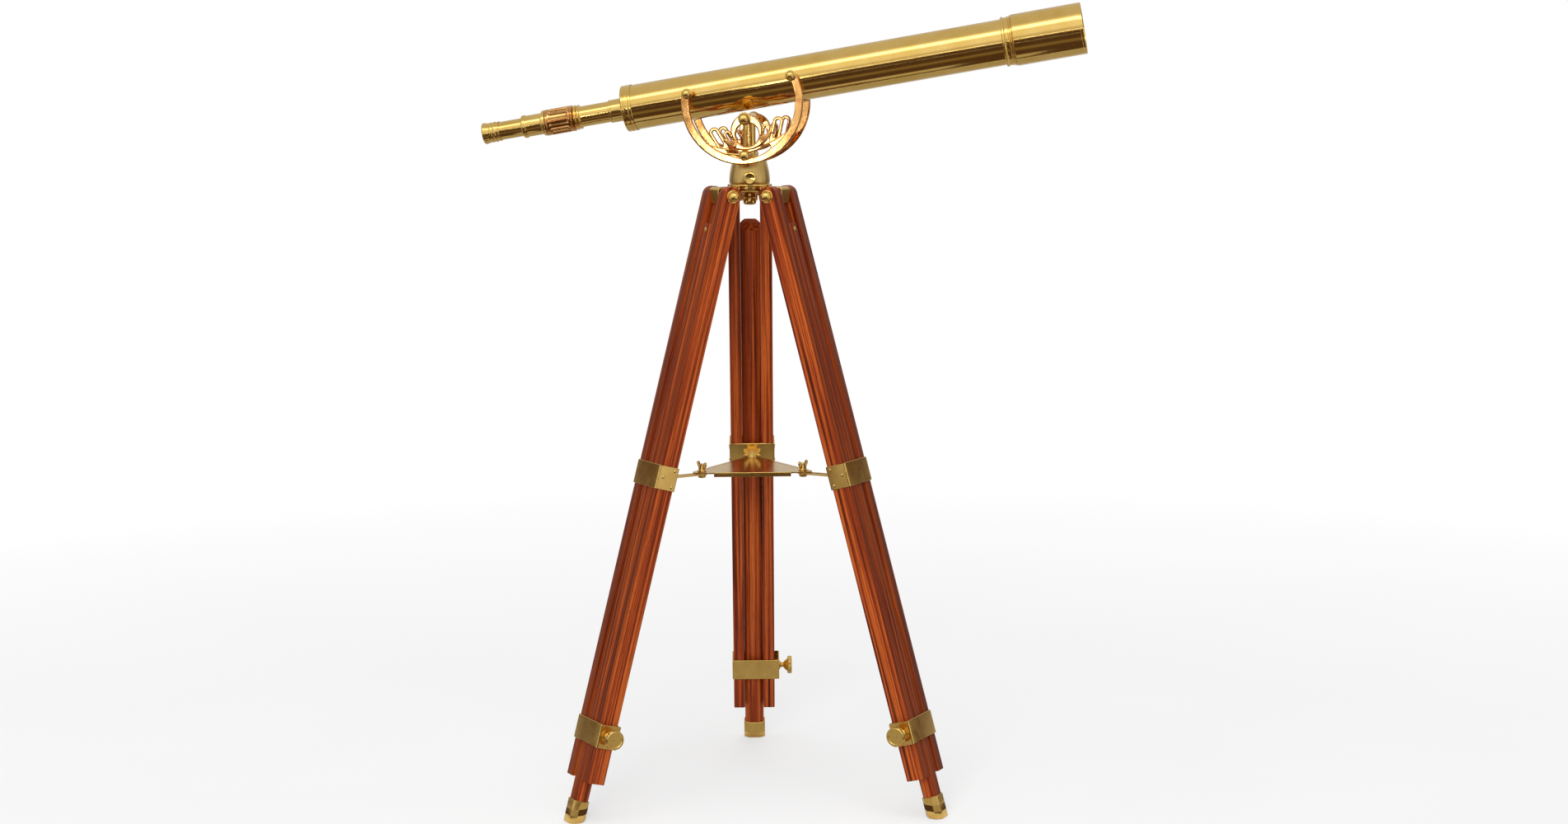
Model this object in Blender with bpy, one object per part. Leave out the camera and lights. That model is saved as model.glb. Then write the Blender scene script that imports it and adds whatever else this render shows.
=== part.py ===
"""Brass refracting telescope in an anchor-plate cradle, on a folding wooden tripod.

Metres, +Z up. The tripod's centre line is vertical, the rear leg points to +Y, and the
telescope points to +X, turned and raised by the two aiming angles below. The root empty
moves the whole assembly so that the middle of its footprint is the origin.
"""
import math

import bmesh
import bpy
from mathutils import Vector

MM = 0.001
GAP = 0.3 * MM                 # clearance between faces that touch
ROUND = 28                     # sides of the large turned pieces

# Aim at rest
AIM_YAW = math.radians(-9.0)
AIM_PITCH = math.radians(9.4)

# Tripod
LEG_SPREAD = math.radians(15.85)
HINGE_HEIGHT = 793.3 * MM
HINGE_RADIUS = 42.3 * MM
LEG_WIDTH = 58.0 * MM
LEG_DEPTH = 25.5 * MM
RAIL_WIDTH = 15.5 * MM
RAIL_END = 770.0 * MM          # distance from the hinge to the lower end of the side rails
SLIDE_TOP = 38.0 * MM          # distance from the hinge to the slide's upper end
SLIDE_SLANT = 0.6              # drop of that end towards the tripod's centre, per unit of depth
SLIDE_DEPTH = 18.8 * MM
SLIDE_OFFSET = 2.2 * MM
SLIDE_CHAMFER = 5.6 * MM
MID_BAND = (354.0 * MM, 384.7 * MM)
LOW_BAND = (692.0 * MM, 722.4 * MM)
BAND_WALL = 1.5 * MM
BAND_STAND = 5.0 * MM          # room between the lower band and the rail on the clamp's side
SHOE_HEIGHT = 22.0 * MM
SHOE_WALL = 1.4 * MM
BOLT_RADIUS = 3.0 * MM
LEGS = (("rear", 90.0, -1), ("left", 210.0, 1), ("right", 330.0, -1))

# Spreader under the head
SPREADER_TOP = 437.0 * MM
SPREADER_WALL = 1.8 * MM
TIP_RADIUS = 10.0 * MM
TIP_REACH = 78.0 * MM          # centre of each rounded tip
WING_REACH = 76.0 * MM         # centre of each wing screw
STRAP_PIN = (124.5 * MM, 432.6 * MM)
STRAP_WIDTH = 14.0 * MM
STRAP_WALL = 2.0 * MM
SLOT_TRAVEL = 34.0 * MM

# Head and pillar
HEAD_TOP = 808.0 * MM
LUG_PLAY = 3.0 * MM            # free width between a lug and the rail on the bolt's nut side
HEAD_RADIUS = 27.0 * MM
PILLAR_TOP = 838.0 * MM
PIVOT_HEIGHT = 892.0 * MM
LOCK_HEIGHT = 845.6 * MM
SPINDLE_RADIUS = 6.0 * MM
AZIMUTH_LOCK_HEIGHT = 816.0 * MM

# Cradle plates, in a frame at the altitude pivot with X along the tube
PLATE_MID = 35.0 * MM          # from the centre plane to the middle of each plate
PLATE_WALL = 4.0 * MM
BOW_CENTRE = 21.0 * MM
BOW_OUTER = 79.0 * MM
BOW_INNER = 68.5 * MM
BOW_TIP = math.radians(18.0)
SCREW_X = 68.0 * MM
SCREW_Z = 44.0 * MM
LOCK_SWEEP = math.radians(30.0)

# Optical tube, measured along its axis from the pivot
TUBE_RISE = 39.4 * MM
TUBE_RADIUS = 29.0 * MM
TUBE_WALL = 1.6 * MM
TUBE_START = -154.8 * MM
TUBE_END = 344.0 * MM
SHADE_RADIUS = 32.6 * MM
SHADE_START = 352.0 * MM
SHADE_END = 441.0 * MM
DRAW_RADIUS = 13.4 * MM

BRASS = ((0.80, 0.58, 0.20, 1.0), 0.18, 1.0)
COPPER = ((0.78, 0.42, 0.16, 1.0), 0.22, 1.0)
SATIN = ((0.66, 0.50, 0.20, 1.0), 0.32, 1.0)
WOOD = ((0.27, 0.07, 0.02, 1.0), 0.38, 0.0)
GLASS = ((0.80, 0.88, 0.90, 1.0), 0.05, 0.0)


def clear_scene():
    for obj in list(bpy.data.objects):
        bpy.data.objects.remove(obj, do_unlink=True)


def material(name, look):
    """A Principled material of its own for one sub-part."""
    colour, roughness, metallic = look
    mat = bpy.data.materials.new(name)
    mat.use_nodes = True
    shader = mat.node_tree.nodes["Principled BSDF"]
    shader.inputs["Base Color"].default_value = colour
    shader.inputs["Roughness"].default_value = roughness
    shader.inputs["Metallic"].default_value = metallic
    return mat


def empty(name, parent=None, location=(0, 0, 0), rotation=(0, 0, 0)):
    obj = bpy.data.objects.new(name, None)
    bpy.context.collection.objects.link(obj)
    obj.parent = parent
    obj.location = location
    obj.rotation_euler = rotation
    return obj


def add_object(name, bm, parent, look, location=(0, 0, 0), rotation=(0, 0, 0), smooth=True):
    """Closes a bmesh into a named object with its material."""
    bmesh.ops.recalc_face_normals(bm, faces=bm.faces)
    mesh = bpy.data.meshes.new(name)
    bm.to_mesh(mesh)
    bm.free()
    if smooth:
        mesh.shade_smooth()
        mesh.set_sharp_from_angle(angle=math.radians(35))
    obj = bpy.data.objects.new(name, mesh)
    bpy.context.collection.objects.link(obj)
    if look:
        mesh.materials.append(material(name, look))
    obj.parent = parent
    obj.location = location
    obj.rotation_euler = rotation
    return obj


def turned(outline, segments=32, axis="X"):
    """Turns (along, radius) points about an axis; ends at radius 0 close on the axis."""
    bm = bmesh.new()
    rings = []
    for along, radius in outline:
        ring = []
        for i in range(segments if radius > 1e-9 else 1):
            angle = 2 * math.pi * i / segments
            a, b = radius * math.cos(angle), radius * math.sin(angle)
            place = {"X": (along, a, b), "Y": (b, along, a), "Z": (a, b, along)}[axis]
            ring.append(bm.verts.new(place))
        rings.append(ring)
    closed = outline[0][1] > 1e-9
    pairs = list(zip(rings, rings[1:] + rings[:1])) if closed else list(zip(rings, rings[1:]))
    for low, high in pairs:
        for i in range(segments):
            j = (i + 1) % segments
            corners = [low[i % len(low)], low[j % len(low)], high[j % len(high)], high[i % len(high)]]
            face = [v for k, v in enumerate(corners) if v not in corners[:k]]
            if len(face) > 2:
                bm.faces.new(face)
    return bm


def tube_outline(start, end, outer, inner):
    return [(start, inner), (end, inner), (end, outer), (start, outer)]


def ball_outline(centre, radius, start, end, steps=6):
    """Half-circle points of a ball along an axis, between two distances from its centre."""
    first = math.acos(max(-1.0, min(1.0, start / radius)))
    last = math.acos(max(-1.0, min(1.0, end / radius)))
    points = []
    for i in range(steps + 1):
        angle = first + (last - first) * i / steps
        points.append((centre + radius * math.cos(angle), abs(radius * math.sin(angle))))
    return points


def circle(x, z, radius, count=20, squash=1.0):
    return [(x + radius * math.cos(2 * math.pi * i / count),
             z + radius * squash * math.sin(2 * math.pi * i / count)) for i in range(count)]


def arc(x, z, radius, start, end, count=12):
    """Points on an arc in a plane, both ends included; angles in radians."""
    return [(x + radius * math.cos(start + (end - start) * i / count),
             z + radius * math.sin(start + (end - start) * i / count)) for i in range(count + 1)]


def capsule(a, b, radius, count=6):
    """Outline of a bar with round ends from a to b."""
    heading = math.atan2(b[1] - a[1], b[0] - a[0])
    return (arc(b[0], b[1], radius, heading - math.pi / 2, heading + math.pi / 2, count)
            + arc(a[0], a[1], radius, heading + math.pi / 2, heading + 3 * math.pi / 2, count))


def slab(outline, holes, low, high, plane="XZ"):
    """Extrudes a flat outline with holes from low to high, across the named plane."""
    bm = bmesh.new()

    def place(point, depth):
        a, b = point
        return {"XZ": (a, depth, b), "XY": (a, b, depth), "YZ": (depth, a, b)}[plane]

    edges = []
    for loop in [outline] + list(holes):
        verts = [bm.verts.new(place(p, low)) for p in loop]
        edges += [bm.edges.new((verts[i - 1], verts[i])) for i in range(len(verts))]
    bmesh.ops.triangle_fill(bm, edges=edges, use_beauty=True)
    made = bmesh.ops.extrude_face_region(bm, geom=list(bm.faces))
    moved = [v for v in made["geom"] if isinstance(v, bmesh.types.BMVert)]
    shift = Vector(place((0, 0), high)) - Vector(place((0, 0), low))
    bmesh.ops.translate(bm, verts=moved, vec=shift)
    return bm


def box(low, high):
    outline = [(low[0], low[1]), (high[0], low[1]), (high[0], high[1]), (low[0], high[1])]
    return slab(outline, [], low[2], high[2], plane="XY")


def cut_by(obj, operation, bm, name, location=(0, 0, 0), rotation=(0, 0, 0)):
    """Adds a boolean with a hidden tool that shares the object's parent and place."""
    tool = add_object(name, bm, obj.parent, None, smooth=False)
    tool.location = Vector(obj.location) + Vector(location)
    tool.rotation_euler = [r + e for r, e in zip(rotation, obj.rotation_euler)]
    tool.hide_render = True
    tool.display_type = "WIRE"
    mod = obj.modifiers.new(name, "BOOLEAN")
    mod.operation = operation
    mod.solver = "EXACT"
    mod.object = tool
    return tool


# ---------------------------------------------------------------- optical tube

def objective_end(tube):
    shade = [(SHADE_START, 30.6 * MM), (SHADE_END - 1 * MM, 30.6 * MM),
             (SHADE_END, 31.2 * MM), (SHADE_END, SHADE_RADIUS - 0.6 * MM),
             (SHADE_END - 0.8 * MM, SHADE_RADIUS), (SHADE_START + 0.8 * MM, SHADE_RADIUS),
             (SHADE_START, SHADE_RADIUS - 0.8 * MM)]
    add_object("dew_shield", turned(shade, ROUND), tube, BRASS)
    # The cell is pushed over the main tube, carries rolled beads and holds the shade.
    over, inside = TUBE_RADIUS + GAP, 27.0 * MM
    skin = TUBE_RADIUS + 1.4 * MM
    start, shoulder = SHADE_START - 13.6 * MM, SHADE_START - GAP
    cell = [(start, over), (TUBE_END + GAP, over), (TUBE_END + GAP, inside - 3 * MM),
            (TUBE_END + 3 * MM, inside - 3 * MM), (TUBE_END + 3 * MM, inside),
            (TUBE_END + 20 * MM, inside), (TUBE_END + 20 * MM, 30.6 * MM - GAP),
            (shoulder, 30.6 * MM - GAP), (shoulder, 32.0 * MM), (shoulder - 1.6 * MM, 32.0 * MM),
            (shoulder - 2.2 * MM, skin), (SHADE_START - 9.4 * MM, skin)]
    cell += arc(start + 2.1 * MM, TUBE_RADIUS + 0.7 * MM, 2.1 * MM, math.radians(20), math.pi, 4)
    add_object("objective_cell", turned(cell, ROUND), tube, BRASS)
    rim = inside - GAP
    crown = [(TUBE_END + 7.2 * MM, 0.0), (TUBE_END + 8.4 * MM, 14 * MM), (TUBE_END + 10.6 * MM, rim),
             (TUBE_END + 12.0 * MM, rim), (TUBE_END + 14.2 * MM, 14 * MM), (TUBE_END + 15.4 * MM, 0.0)]
    flint = [(TUBE_END + 3.6 * MM, 0.0), (TUBE_END + 3.4 * MM, rim), (TUBE_END + 10.0 * MM, rim),
             (TUBE_END + 7.9 * MM, 14 * MM), (TUBE_END + 6.7 * MM, 0.0)]
    add_object("crown_lens", turned(crown, 20), tube, GLASS)
    add_object("flint_lens", turned(flint, 20), tube, GLASS)


def body_tube(tube):
    obj = add_object("main_tube", turned(tube_outline(TUBE_START, TUBE_END, TUBE_RADIUS,
                                                      TUBE_RADIUS - TUBE_WALL), ROUND), tube, BRASS)
    for x in (-SCREW_X, SCREW_X):
        drill = turned([(-40 * MM, 0), (-40 * MM, 2.4 * MM), (40 * MM, 2.4 * MM), (40 * MM, 0)], 12, "Y")
        cut_by(obj, "DIFFERENCE", drill, "tube_drill", (x, 0, SCREW_Z - TUBE_RISE))
    # End cap: rolled rim, groove and the sleeve that the draw tube slides in.
    over, skin = TUBE_RADIUS + GAP, 30.0 * MM
    cap = [(-145 * MM, over), (TUBE_START - GAP, over), (TUBE_START - GAP, DRAW_RADIUS + GAP),
           (-178.7 * MM, DRAW_RADIUS + GAP), (-178.7 * MM, 14.8 * MM), (-160.5 * MM, 14.8 * MM),
           (-158.9 * MM, 16.5 * MM), (-158.5 * MM, 28.6 * MM), (-157.0 * MM, skin),
           (-149.4 * MM, skin), (-148.8 * MM, skin - 0.5 * MM), (-148.0 * MM, skin - 0.5 * MM),
           (-147.4 * MM, skin), (-145 * MM, skin)]
    add_object("tube_end_cap", turned(cap, ROUND), tube, BRASS)


def eyepiece_end(tube):
    inner = DRAW_RADIUS - 1.3 * MM
    draw = [(-262 * MM, inner), (-95 * MM, inner), (-95 * MM, DRAW_RADIUS), (-215.5 * MM, DRAW_RADIUS)]
    draw += arc(-220.5 * MM, 13.6 * MM, 4.6 * MM, math.radians(28), math.radians(152), 4)
    draw += [(-226 * MM, DRAW_RADIUS), (-262 * MM, DRAW_RADIUS)]
    add_object("draw_tube", turned(draw, 24), tube, BRASS)

    bore = DRAW_RADIUS + GAP
    sleeve = turned([(-264 * MM, bore), (-227 * MM, bore), (-227 * MM, 16.0 * MM), (-229 * MM, 17.0 * MM),
                     (-231 * MM, 16.4 * MM), (-260 * MM, 16.4 * MM), (-262 * MM, 17.0 * MM),
                     (-264 * MM, 16.0 * MM)], 36)
    flutes = [v for v in sleeve.verts if abs(math.hypot(v.co.y, v.co.z) - 16.4 * MM) < 0.1 * MM]
    for vert in flutes:
        step = round(math.atan2(vert.co.z, vert.co.y) / (2 * math.pi / 36))
        if step % 2:
            vert.co.y *= 15.4 / 16.4
            vert.co.z *= 15.4 / 16.4
    add_object("fluted_sleeve", sleeve, tube, COPPER)

    holder_bore = 12.1 * MM - 1.2 * MM
    holder = [(-296.8 * MM, 12.1 * MM), (-274 * MM, 12.1 * MM), (-274 * MM, holder_bore - 0.6 * MM),
              (-240 * MM, holder_bore - 0.6 * MM), (-240 * MM, inner - GAP), (-262 * MM - GAP, inner - GAP),
              (-262 * MM - GAP, 12.9 * MM), (-264 * MM - GAP, 12.9 * MM), (-264 * MM - GAP, 16.0 * MM),
              (-266 * MM, 16.8 * MM), (-268 * MM, 16.8 * MM), (-269.5 * MM, 16.0 * MM),
              (-270.5 * MM, 14.0 * MM), (-291.0 * MM, 13.8 * MM), (-292.2 * MM, 14.8 * MM),
              (-295.8 * MM, 14.8 * MM), (-296.8 * MM, 13.8 * MM)]
    add_object("eyepiece_holder", turned(holder, 20), tube, BRASS)

    thin = 11.8 * MM
    add_object("eyepiece_tube", turned(tube_outline(-332 * MM, -279 * MM, thin, thin - 1.4 * MM), 20),
               tube, BRASS)
    cup_bore = thin + GAP
    cup = [(-339.5 * MM, cup_bore), (-327.5 * MM, cup_bore), (-327.5 * MM, 12.9 * MM),
           (-332 * MM, 12.9 * MM), (-334 * MM, 13.5 * MM), (-336 * MM, 12.7 * MM),
           (-340 * MM, 12.7 * MM), (-343 * MM, 13.2 * MM), (-348.6 * MM, 13.8 * MM),
           (-350.4 * MM, 12.8 * MM), (-349.4 * MM, 9.0 * MM), (-344.5 * MM, 5.5 * MM),
           (-339.5 * MM, 5.5 * MM)]
    add_object("eyecup", turned(cup, 20), tube, BRASS)

    def lens(name, middle, radius, bulge, edge):
        arc_in = [(middle - bulge, 0.0), (middle - (bulge + edge) / 2, radius * 0.6), (middle - edge, radius)]
        arc_out = [(2 * middle - x, r) for x, r in reversed(arc_in)]
        add_object(name, turned(arc_in + arc_out, 16), tube, GLASS)

    lens("eye_lens", -335.4 * MM, thin - 1.0 * MM, 3.2 * MM, 1.2 * MM)
    lens("field_lens", -290 * MM, thin - 1.4 * MM - GAP, 3.0 * MM, 1.2 * MM)
    lens("erector_lens", -130 * MM, inner - GAP, 3.4 * MM, 1.4 * MM)


# -------------------------------------------------------------- anchor cradle

def cradle_plate(name, side, pivot):
    """Anchor-shaped plate: bow, crescent, raised bowl, pierced ring and looped scrolls."""
    centre, half = side * PLATE_MID, PLATE_WALL / 2

    def across(inner, outer):
        """Depths from the plate's inner side to its outer side, sorted."""
        return sorted((side * inner, side * outer))

    mid = PLATE_MID
    bow = (arc(0, BOW_CENTRE, BOW_OUTER, math.pi - BOW_TIP, 2 * math.pi + BOW_TIP, 28)
           + arc(0, BOW_CENTRE, BOW_INNER, 2 * math.pi + BOW_TIP, math.pi - BOW_TIP, 28))
    plate = add_object(name, slab(bow, [], centre - half, centre + half), pivot, COPPER)
    low, high = across(mid - 1.7 * MM, mid + 1.7 * MM)
    fill_radius, fill_centre, half_chord = 101.7 * MM, 63.7 * MM, math.radians(33.0)
    reach = math.radians(46.0)
    fill = (arc(0, BOW_CENTRE, 74 * MM, 1.5 * math.pi - reach, 1.5 * math.pi + reach, 13)
            + arc(0, fill_centre, fill_radius, 1.5 * math.pi + half_chord, 1.5 * math.pi - half_chord, 9))
    cut_by(plate, "UNION", slab(fill, [], low, high), name + "_fill")

    low, high = across(mid - 2.3 * MM, mid + 4.6 * MM)
    sweep = math.radians(60.0)
    bowl = (arc(0, -2 * MM, 38 * MM, 1.5 * math.pi - sweep, 1.5 * math.pi + sweep, 14)
            + arc(0, -2 * MM, 29 * MM, 1.5 * math.pi + sweep, 1.5 * math.pi - sweep, 14))
    cut_by(plate, "UNION", slab(bowl, [], low, high), name + "_bowl")

    low, high = across(mid - 2.6 * MM, mid + 3.0 * MM)
    cut_by(plate, "UNION", slab(circle(0, -14.5 * MM, 20.5 * MM, 26), [], low, high), name + "_ring")
    scrolls = (((42.0, -10.8), (33.0, -33.0), 6.9, 2.4, 1.3), ((25.5, -16.0), (22.0, -25.0), 5.4, 1.7, 1.5))
    for index, (top, root, outer, slot, rise) in enumerate(scrolls):
        for hand in (-1, 1):
            a, b = (hand * top[0] * MM, top[1] * MM), (hand * root[0] * MM, root[1] * MM)
            tag = "_%d%s" % (index, "l" if hand < 0 else "r")
            low, high = across(mid - rise * MM, mid + rise * MM)
            cut_by(plate, "UNION", slab(capsule(a, b, outer * MM), [], low, high), name + "_scroll" + tag)
            end = (a[0] * 0.25 + b[0] * 0.75, a[1] * 0.25 + b[1] * 0.75)
            low, high = across(mid - 9 * MM, mid + 9 * MM)
            cut_by(plate, "DIFFERENCE", slab(capsule(a, end, slot * MM, 5), [], low, high),
                   name + "_slot" + tag)
    low, high = across(mid - 9 * MM, mid + 9 * MM)
    window = slab(circle(0, -20.4 * MM, 14.8 * MM, 21, 1.01), [], low, high)
    cut_by(plate, "DIFFERENCE", window, name + "_window")
    reach = PIVOT_HEIGHT - LOCK_HEIGHT
    first, last = 1.5 * math.pi - LOCK_SWEEP, 1.5 * math.pi + LOCK_SWEEP
    wide = BOLT_RADIUS + 0.6 * MM
    end_a = (reach * math.cos(first), reach * math.sin(first))
    end_b = (reach * math.cos(last), reach * math.sin(last))
    slot = (arc(0, 0, reach + wide, first, last, 8)[1:-1] + arc(*end_b, wide, last, last + math.pi, 4)
            + arc(0, 0, reach - wide, last, first, 8)[1:-1]
            + arc(*end_a, wide, first + math.pi, first + 2 * math.pi, 4))
    cut_by(plate, "DIFFERENCE", slab(slot, [], low, high), name + "_lock_slot")
    hole = slab(circle(0, 0, BOLT_RADIUS + GAP, 10), [], low, high)
    cut_by(plate, "DIFFERENCE", hole, name + "_pivot_hole")
    for hand, word in ((-1, "l"), (1, "r")):
        low, high = across(TUBE_RADIUS + GAP, mid + 1.2 * MM)
        pad = slab(circle(hand * SCREW_X, SCREW_Z, 5.6 * MM, 12), [], low, high)
        cut_by(plate, "UNION", pad, name + "_pad_" + word)
        low, high = across(mid - 9 * MM, mid + 9 * MM)
        drill = slab(circle(hand * SCREW_X, SCREW_Z, 2.3 * MM, 8), [], low, high)
        cut_by(plate, "DIFFERENCE", drill, name + "_drill_" + word)


def ball_bolt(name, side, face, tip, ball, shank, parent, look, x=0.0, z=0.0, sides=12):
    """Ball-headed bolt along Y: collar on the face at `face`, shank towards `tip`."""
    collar = ball * 1.22
    seat = face + GAP
    outline = [(tip, 0.0), (tip, shank), (seat, shank), (seat, collar), (seat + 1.3 * MM, collar),
               (seat + 1.6 * MM, ball * 0.62)]
    middle = seat + 1.6 * MM + ball * 0.78
    outline += ball_outline(middle, ball, -ball * 0.74, ball, 4)
    outline = [(side * y, r) for y, r in outline]
    return add_object(name, turned(outline, sides, "Y"), parent, look, (x, 0, z))


def cradle(pivot):
    outer = PLATE_MID + PLATE_WALL / 2
    for word, side in (("front", -1), ("rear", 1)):
        cradle_plate("cradle_plate_" + word, side, pivot)
        for end, x in (("eye_end", -SCREW_X), ("lens_end", SCREW_X)):
            ball_bolt("cradle_screw_%s_%s" % (word, end), side, outer, 26.0 * MM, 5.8 * MM, 2.0 * MM,
                      pivot, BRASS, x, SCREW_Z)


def saddle(azimuth):
    """Post and two cross tubes that the plates hang on, with their bolts."""
    face = PLATE_MID - 2.6 * MM - GAP
    outer = PLATE_MID + 3.0 * MM
    rise = PIVOT_HEIGHT - PILLAR_TOP
    post = turned([(-5.5 * MM, 0), (-5.5 * MM, 4.7 * MM), (GAP, 4.7 * MM), (GAP, 15 * MM), (3.2 * MM, 15 * MM),
                   (6.5 * MM, 8.2 * MM), (rise + 2 * MM, 8.2 * MM), (rise + 3 * MM, 7.2 * MM),
                   (rise + 3 * MM, 0)], 20, "Z")
    obj = add_object("saddle_post", post, azimuth, BRASS, (0, 0, PILLAR_TOP))
    drill = BOLT_RADIUS + GAP
    lock_rise = LOCK_HEIGHT - PILLAR_TOP
    for word, place, radius in (("upper", rise, 7.4 * MM), ("lower", lock_rise, 6.6 * MM)):
        bar = turned([(-face, 0), (-face, radius), (face, radius), (face, 0)], 16, "Y")
        cut_by(obj, "UNION", bar, "saddle_bar_" + word, (0, 0, place))
        hole = turned([(-50 * MM, 0), (-50 * MM, drill), (50 * MM, drill), (50 * MM, 0)], 10, "Y")
        cut_by(obj, "DIFFERENCE", hole, "saddle_hole_" + word, (0, 0, place))
    ball_bolt("pivot_bolt", -1, outer, -43.0 * MM, 6.9 * MM, BOLT_RADIUS, azimuth, BRASS, 0, PIVOT_HEIGHT)
    seat = outer + GAP
    nut = [(43.5 * MM, 0), (43.5 * MM, BOLT_RADIUS + GAP), (seat, BOLT_RADIUS + GAP), (seat, 8.4 * MM),
           (seat + 1.3 * MM, 8.4 * MM), (seat + 1.3 * MM, 5.2 * MM)]
    nut += ball_outline(seat + 5.6 * MM, 6.9 * MM, -4.4 * MM, 6.9 * MM, 5)
    add_object("pivot_nut", turned(nut, 16, "Y"), azimuth, BRASS, (0, 0, PIVOT_HEIGHT))
    bolt_face = PLATE_MID + PLATE_WALL / 2 + GAP
    bolt = [(-43 * MM, 0), (-43 * MM, BOLT_RADIUS), (bolt_face, BOLT_RADIUS), (bolt_face, 5.9 * MM),
            (bolt_face + 3.2 * MM, 5.9 * MM), (bolt_face + 4.6 * MM, 5.0 * MM), (bolt_face + 4.6 * MM, 0)]
    add_object("lock_bolt", turned(bolt, 16, "Y"), azimuth, BRASS, (0, 0, LOCK_HEIGHT))


def lock_lever(azimuth):
    """Ball hub threaded on the lock bolt, with a small arm and ball to turn it by."""
    pin = empty("lock_lever_axis", azimuth, (0, 0, LOCK_HEIGHT))
    seat = -(PLATE_MID + PLATE_WALL / 2 + GAP)
    hub = [(-43.6 * MM, 0), (-43.6 * MM, BOLT_RADIUS + GAP), (seat, BOLT_RADIUS + GAP), (seat, 5.8 * MM),
           (seat - 1.4 * MM, 5.8 * MM), (seat - 1.4 * MM, 5.0 * MM)]
    hub += [(-y, r) for y, r in ball_outline(-seat + 5.8 * MM, 6.9 * MM, -4.6 * MM, 6.9 * MM, 5)]
    obj = add_object("lock_lever", turned(hub, 16, "Y"), pin, BRASS)
    tilt = math.radians(6.0)
    middle = seat - 6.4 * MM
    arm = [(-23 * MM, 0), (-23 * MM, 1.5 * MM), (-5.4 * MM, 1.9 * MM), (-5.4 * MM, 0)]
    cut_by(obj, "UNION", turned(arm, 8), "lever_arm", (0, middle, 0), (0, tilt, 0))
    knob = turned([(0, 0), (0, 1.3 * MM)] + ball_outline(5.4 * MM, 2.9 * MM, -2.5 * MM, 2.9 * MM, 5), 10, "Z")
    cut_by(obj, "UNION", knob, "lever_knob", (-21.5 * MM, middle, 2.3 * MM))


# ------------------------------------------------------------ pillar and head

def pillar(azimuth):
    base = HEAD_TOP + GAP
    collar = 12.0 * MM + GAP
    roof = 826.6 * MM
    bell = [(base, collar), (roof, collar), (roof, SPINDLE_RADIUS + GAP), (PILLAR_TOP - 6 * MM,
            SPINDLE_RADIUS + GAP), (PILLAR_TOP - 6 * MM, 5.0 * MM), (PILLAR_TOP, 5.0 * MM),
            (PILLAR_TOP, 21.4 * MM), (PILLAR_TOP - 0.8 * MM, 22.2 * MM)]
    for i in range(1, 5):
        t = i / 4
        bell.append((PILLAR_TOP - 0.8 * MM - t * 27.4 * MM, 22.2 * MM + 4.5 * MM * math.sin(t * math.pi / 2)))
    bell.append((base, 26.2 * MM))
    obj = add_object("bell_pillar", turned(bell, 28, "Z"), azimuth, SATIN)
    heading = -math.pi / 2 - AIM_YAW
    lock = empty("azimuth_lock_axis", azimuth, (0, 0, AZIMUTH_LOCK_HEIGHT), (0, 0, heading))
    drill = turned([(8 * MM, 0), (8 * MM, 3.3 * MM), (40 * MM, 3.3 * MM), (40 * MM, 0)], 12)
    cut_by(obj, "DIFFERENCE", drill, "pillar_drill", (0, 0, AZIMUTH_LOCK_HEIGHT), (0, 0, heading))
    screw = [(12.4 * MM, 0), (12.4 * MM, 3.0 * MM), (27.4 * MM, 3.0 * MM), (27.4 * MM, 6.8 * MM),
             (28.4 * MM, 8.4 * MM), (32.6 * MM, 8.4 * MM), (33.6 * MM, 7.6 * MM), (33.9 * MM, 0)]
    add_object("azimuth_lock_screw", turned(screw, 20), lock, BRASS)
    spindle = [(781 * MM, 0), (781.8 * MM, 7.6 * MM), (783 * MM, 8.4 * MM), (795.4 * MM, 8.4 * MM),
               (795.4 * MM, SPINDLE_RADIUS), (831 * MM, SPINDLE_RADIUS), (831 * MM, 0)]
    add_object("azimuth_spindle", turned(spindle, 16, "Z"), azimuth, BRASS)


def head(root):
    """Cast head: dish, collar inside the pillar, and three lugs that the legs hang on."""
    bore = SPINDLE_RADIUS + GAP
    dish = [(796 * MM, bore), (825.8 * MM, bore), (825.8 * MM, 12 * MM), (HEAD_TOP, 12 * MM),
            (HEAD_TOP, HEAD_RADIUS - 1 * MM), (HEAD_TOP - 1 * MM, HEAD_RADIUS)]
    dish += [(802 * MM - 6 * MM * math.sin(a), 14 * MM + 13 * MM * math.cos(a))
             for a in [math.radians(30 * i) for i in range(4)]]
    obj = add_object("head_casting", turned(dish, 28, "Z"), root, BRASS)
    half = LEG_WIDTH / 2 - RAIL_WIDTH - GAP
    reach = HINGE_RADIUS + 10.5 * MM
    top, bottom = HEAD_TOP - 3.2 * MM, HINGE_HEIGHT - 9 * MM
    outline = [(20 * MM, bottom + 2 * MM), (32 * MM, bottom), (reach, bottom), (reach, top - 4 * MM),
               (reach - 4 * MM, top), (20 * MM, top)]
    hole = circle(HINGE_RADIUS, HINGE_HEIGHT, BOLT_RADIUS + GAP, 10)
    for name, azimuth, hand in LEGS:
        low, high = sorted((-hand * half, hand * (half - LUG_PLAY)))
        cut_by(obj, "UNION", slab(outline, [hole], low, high), "head_lug_" + name,
               rotation=(0, 0, math.radians(azimuth)))


# ----------------------------------------------------------------------- legs

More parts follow.
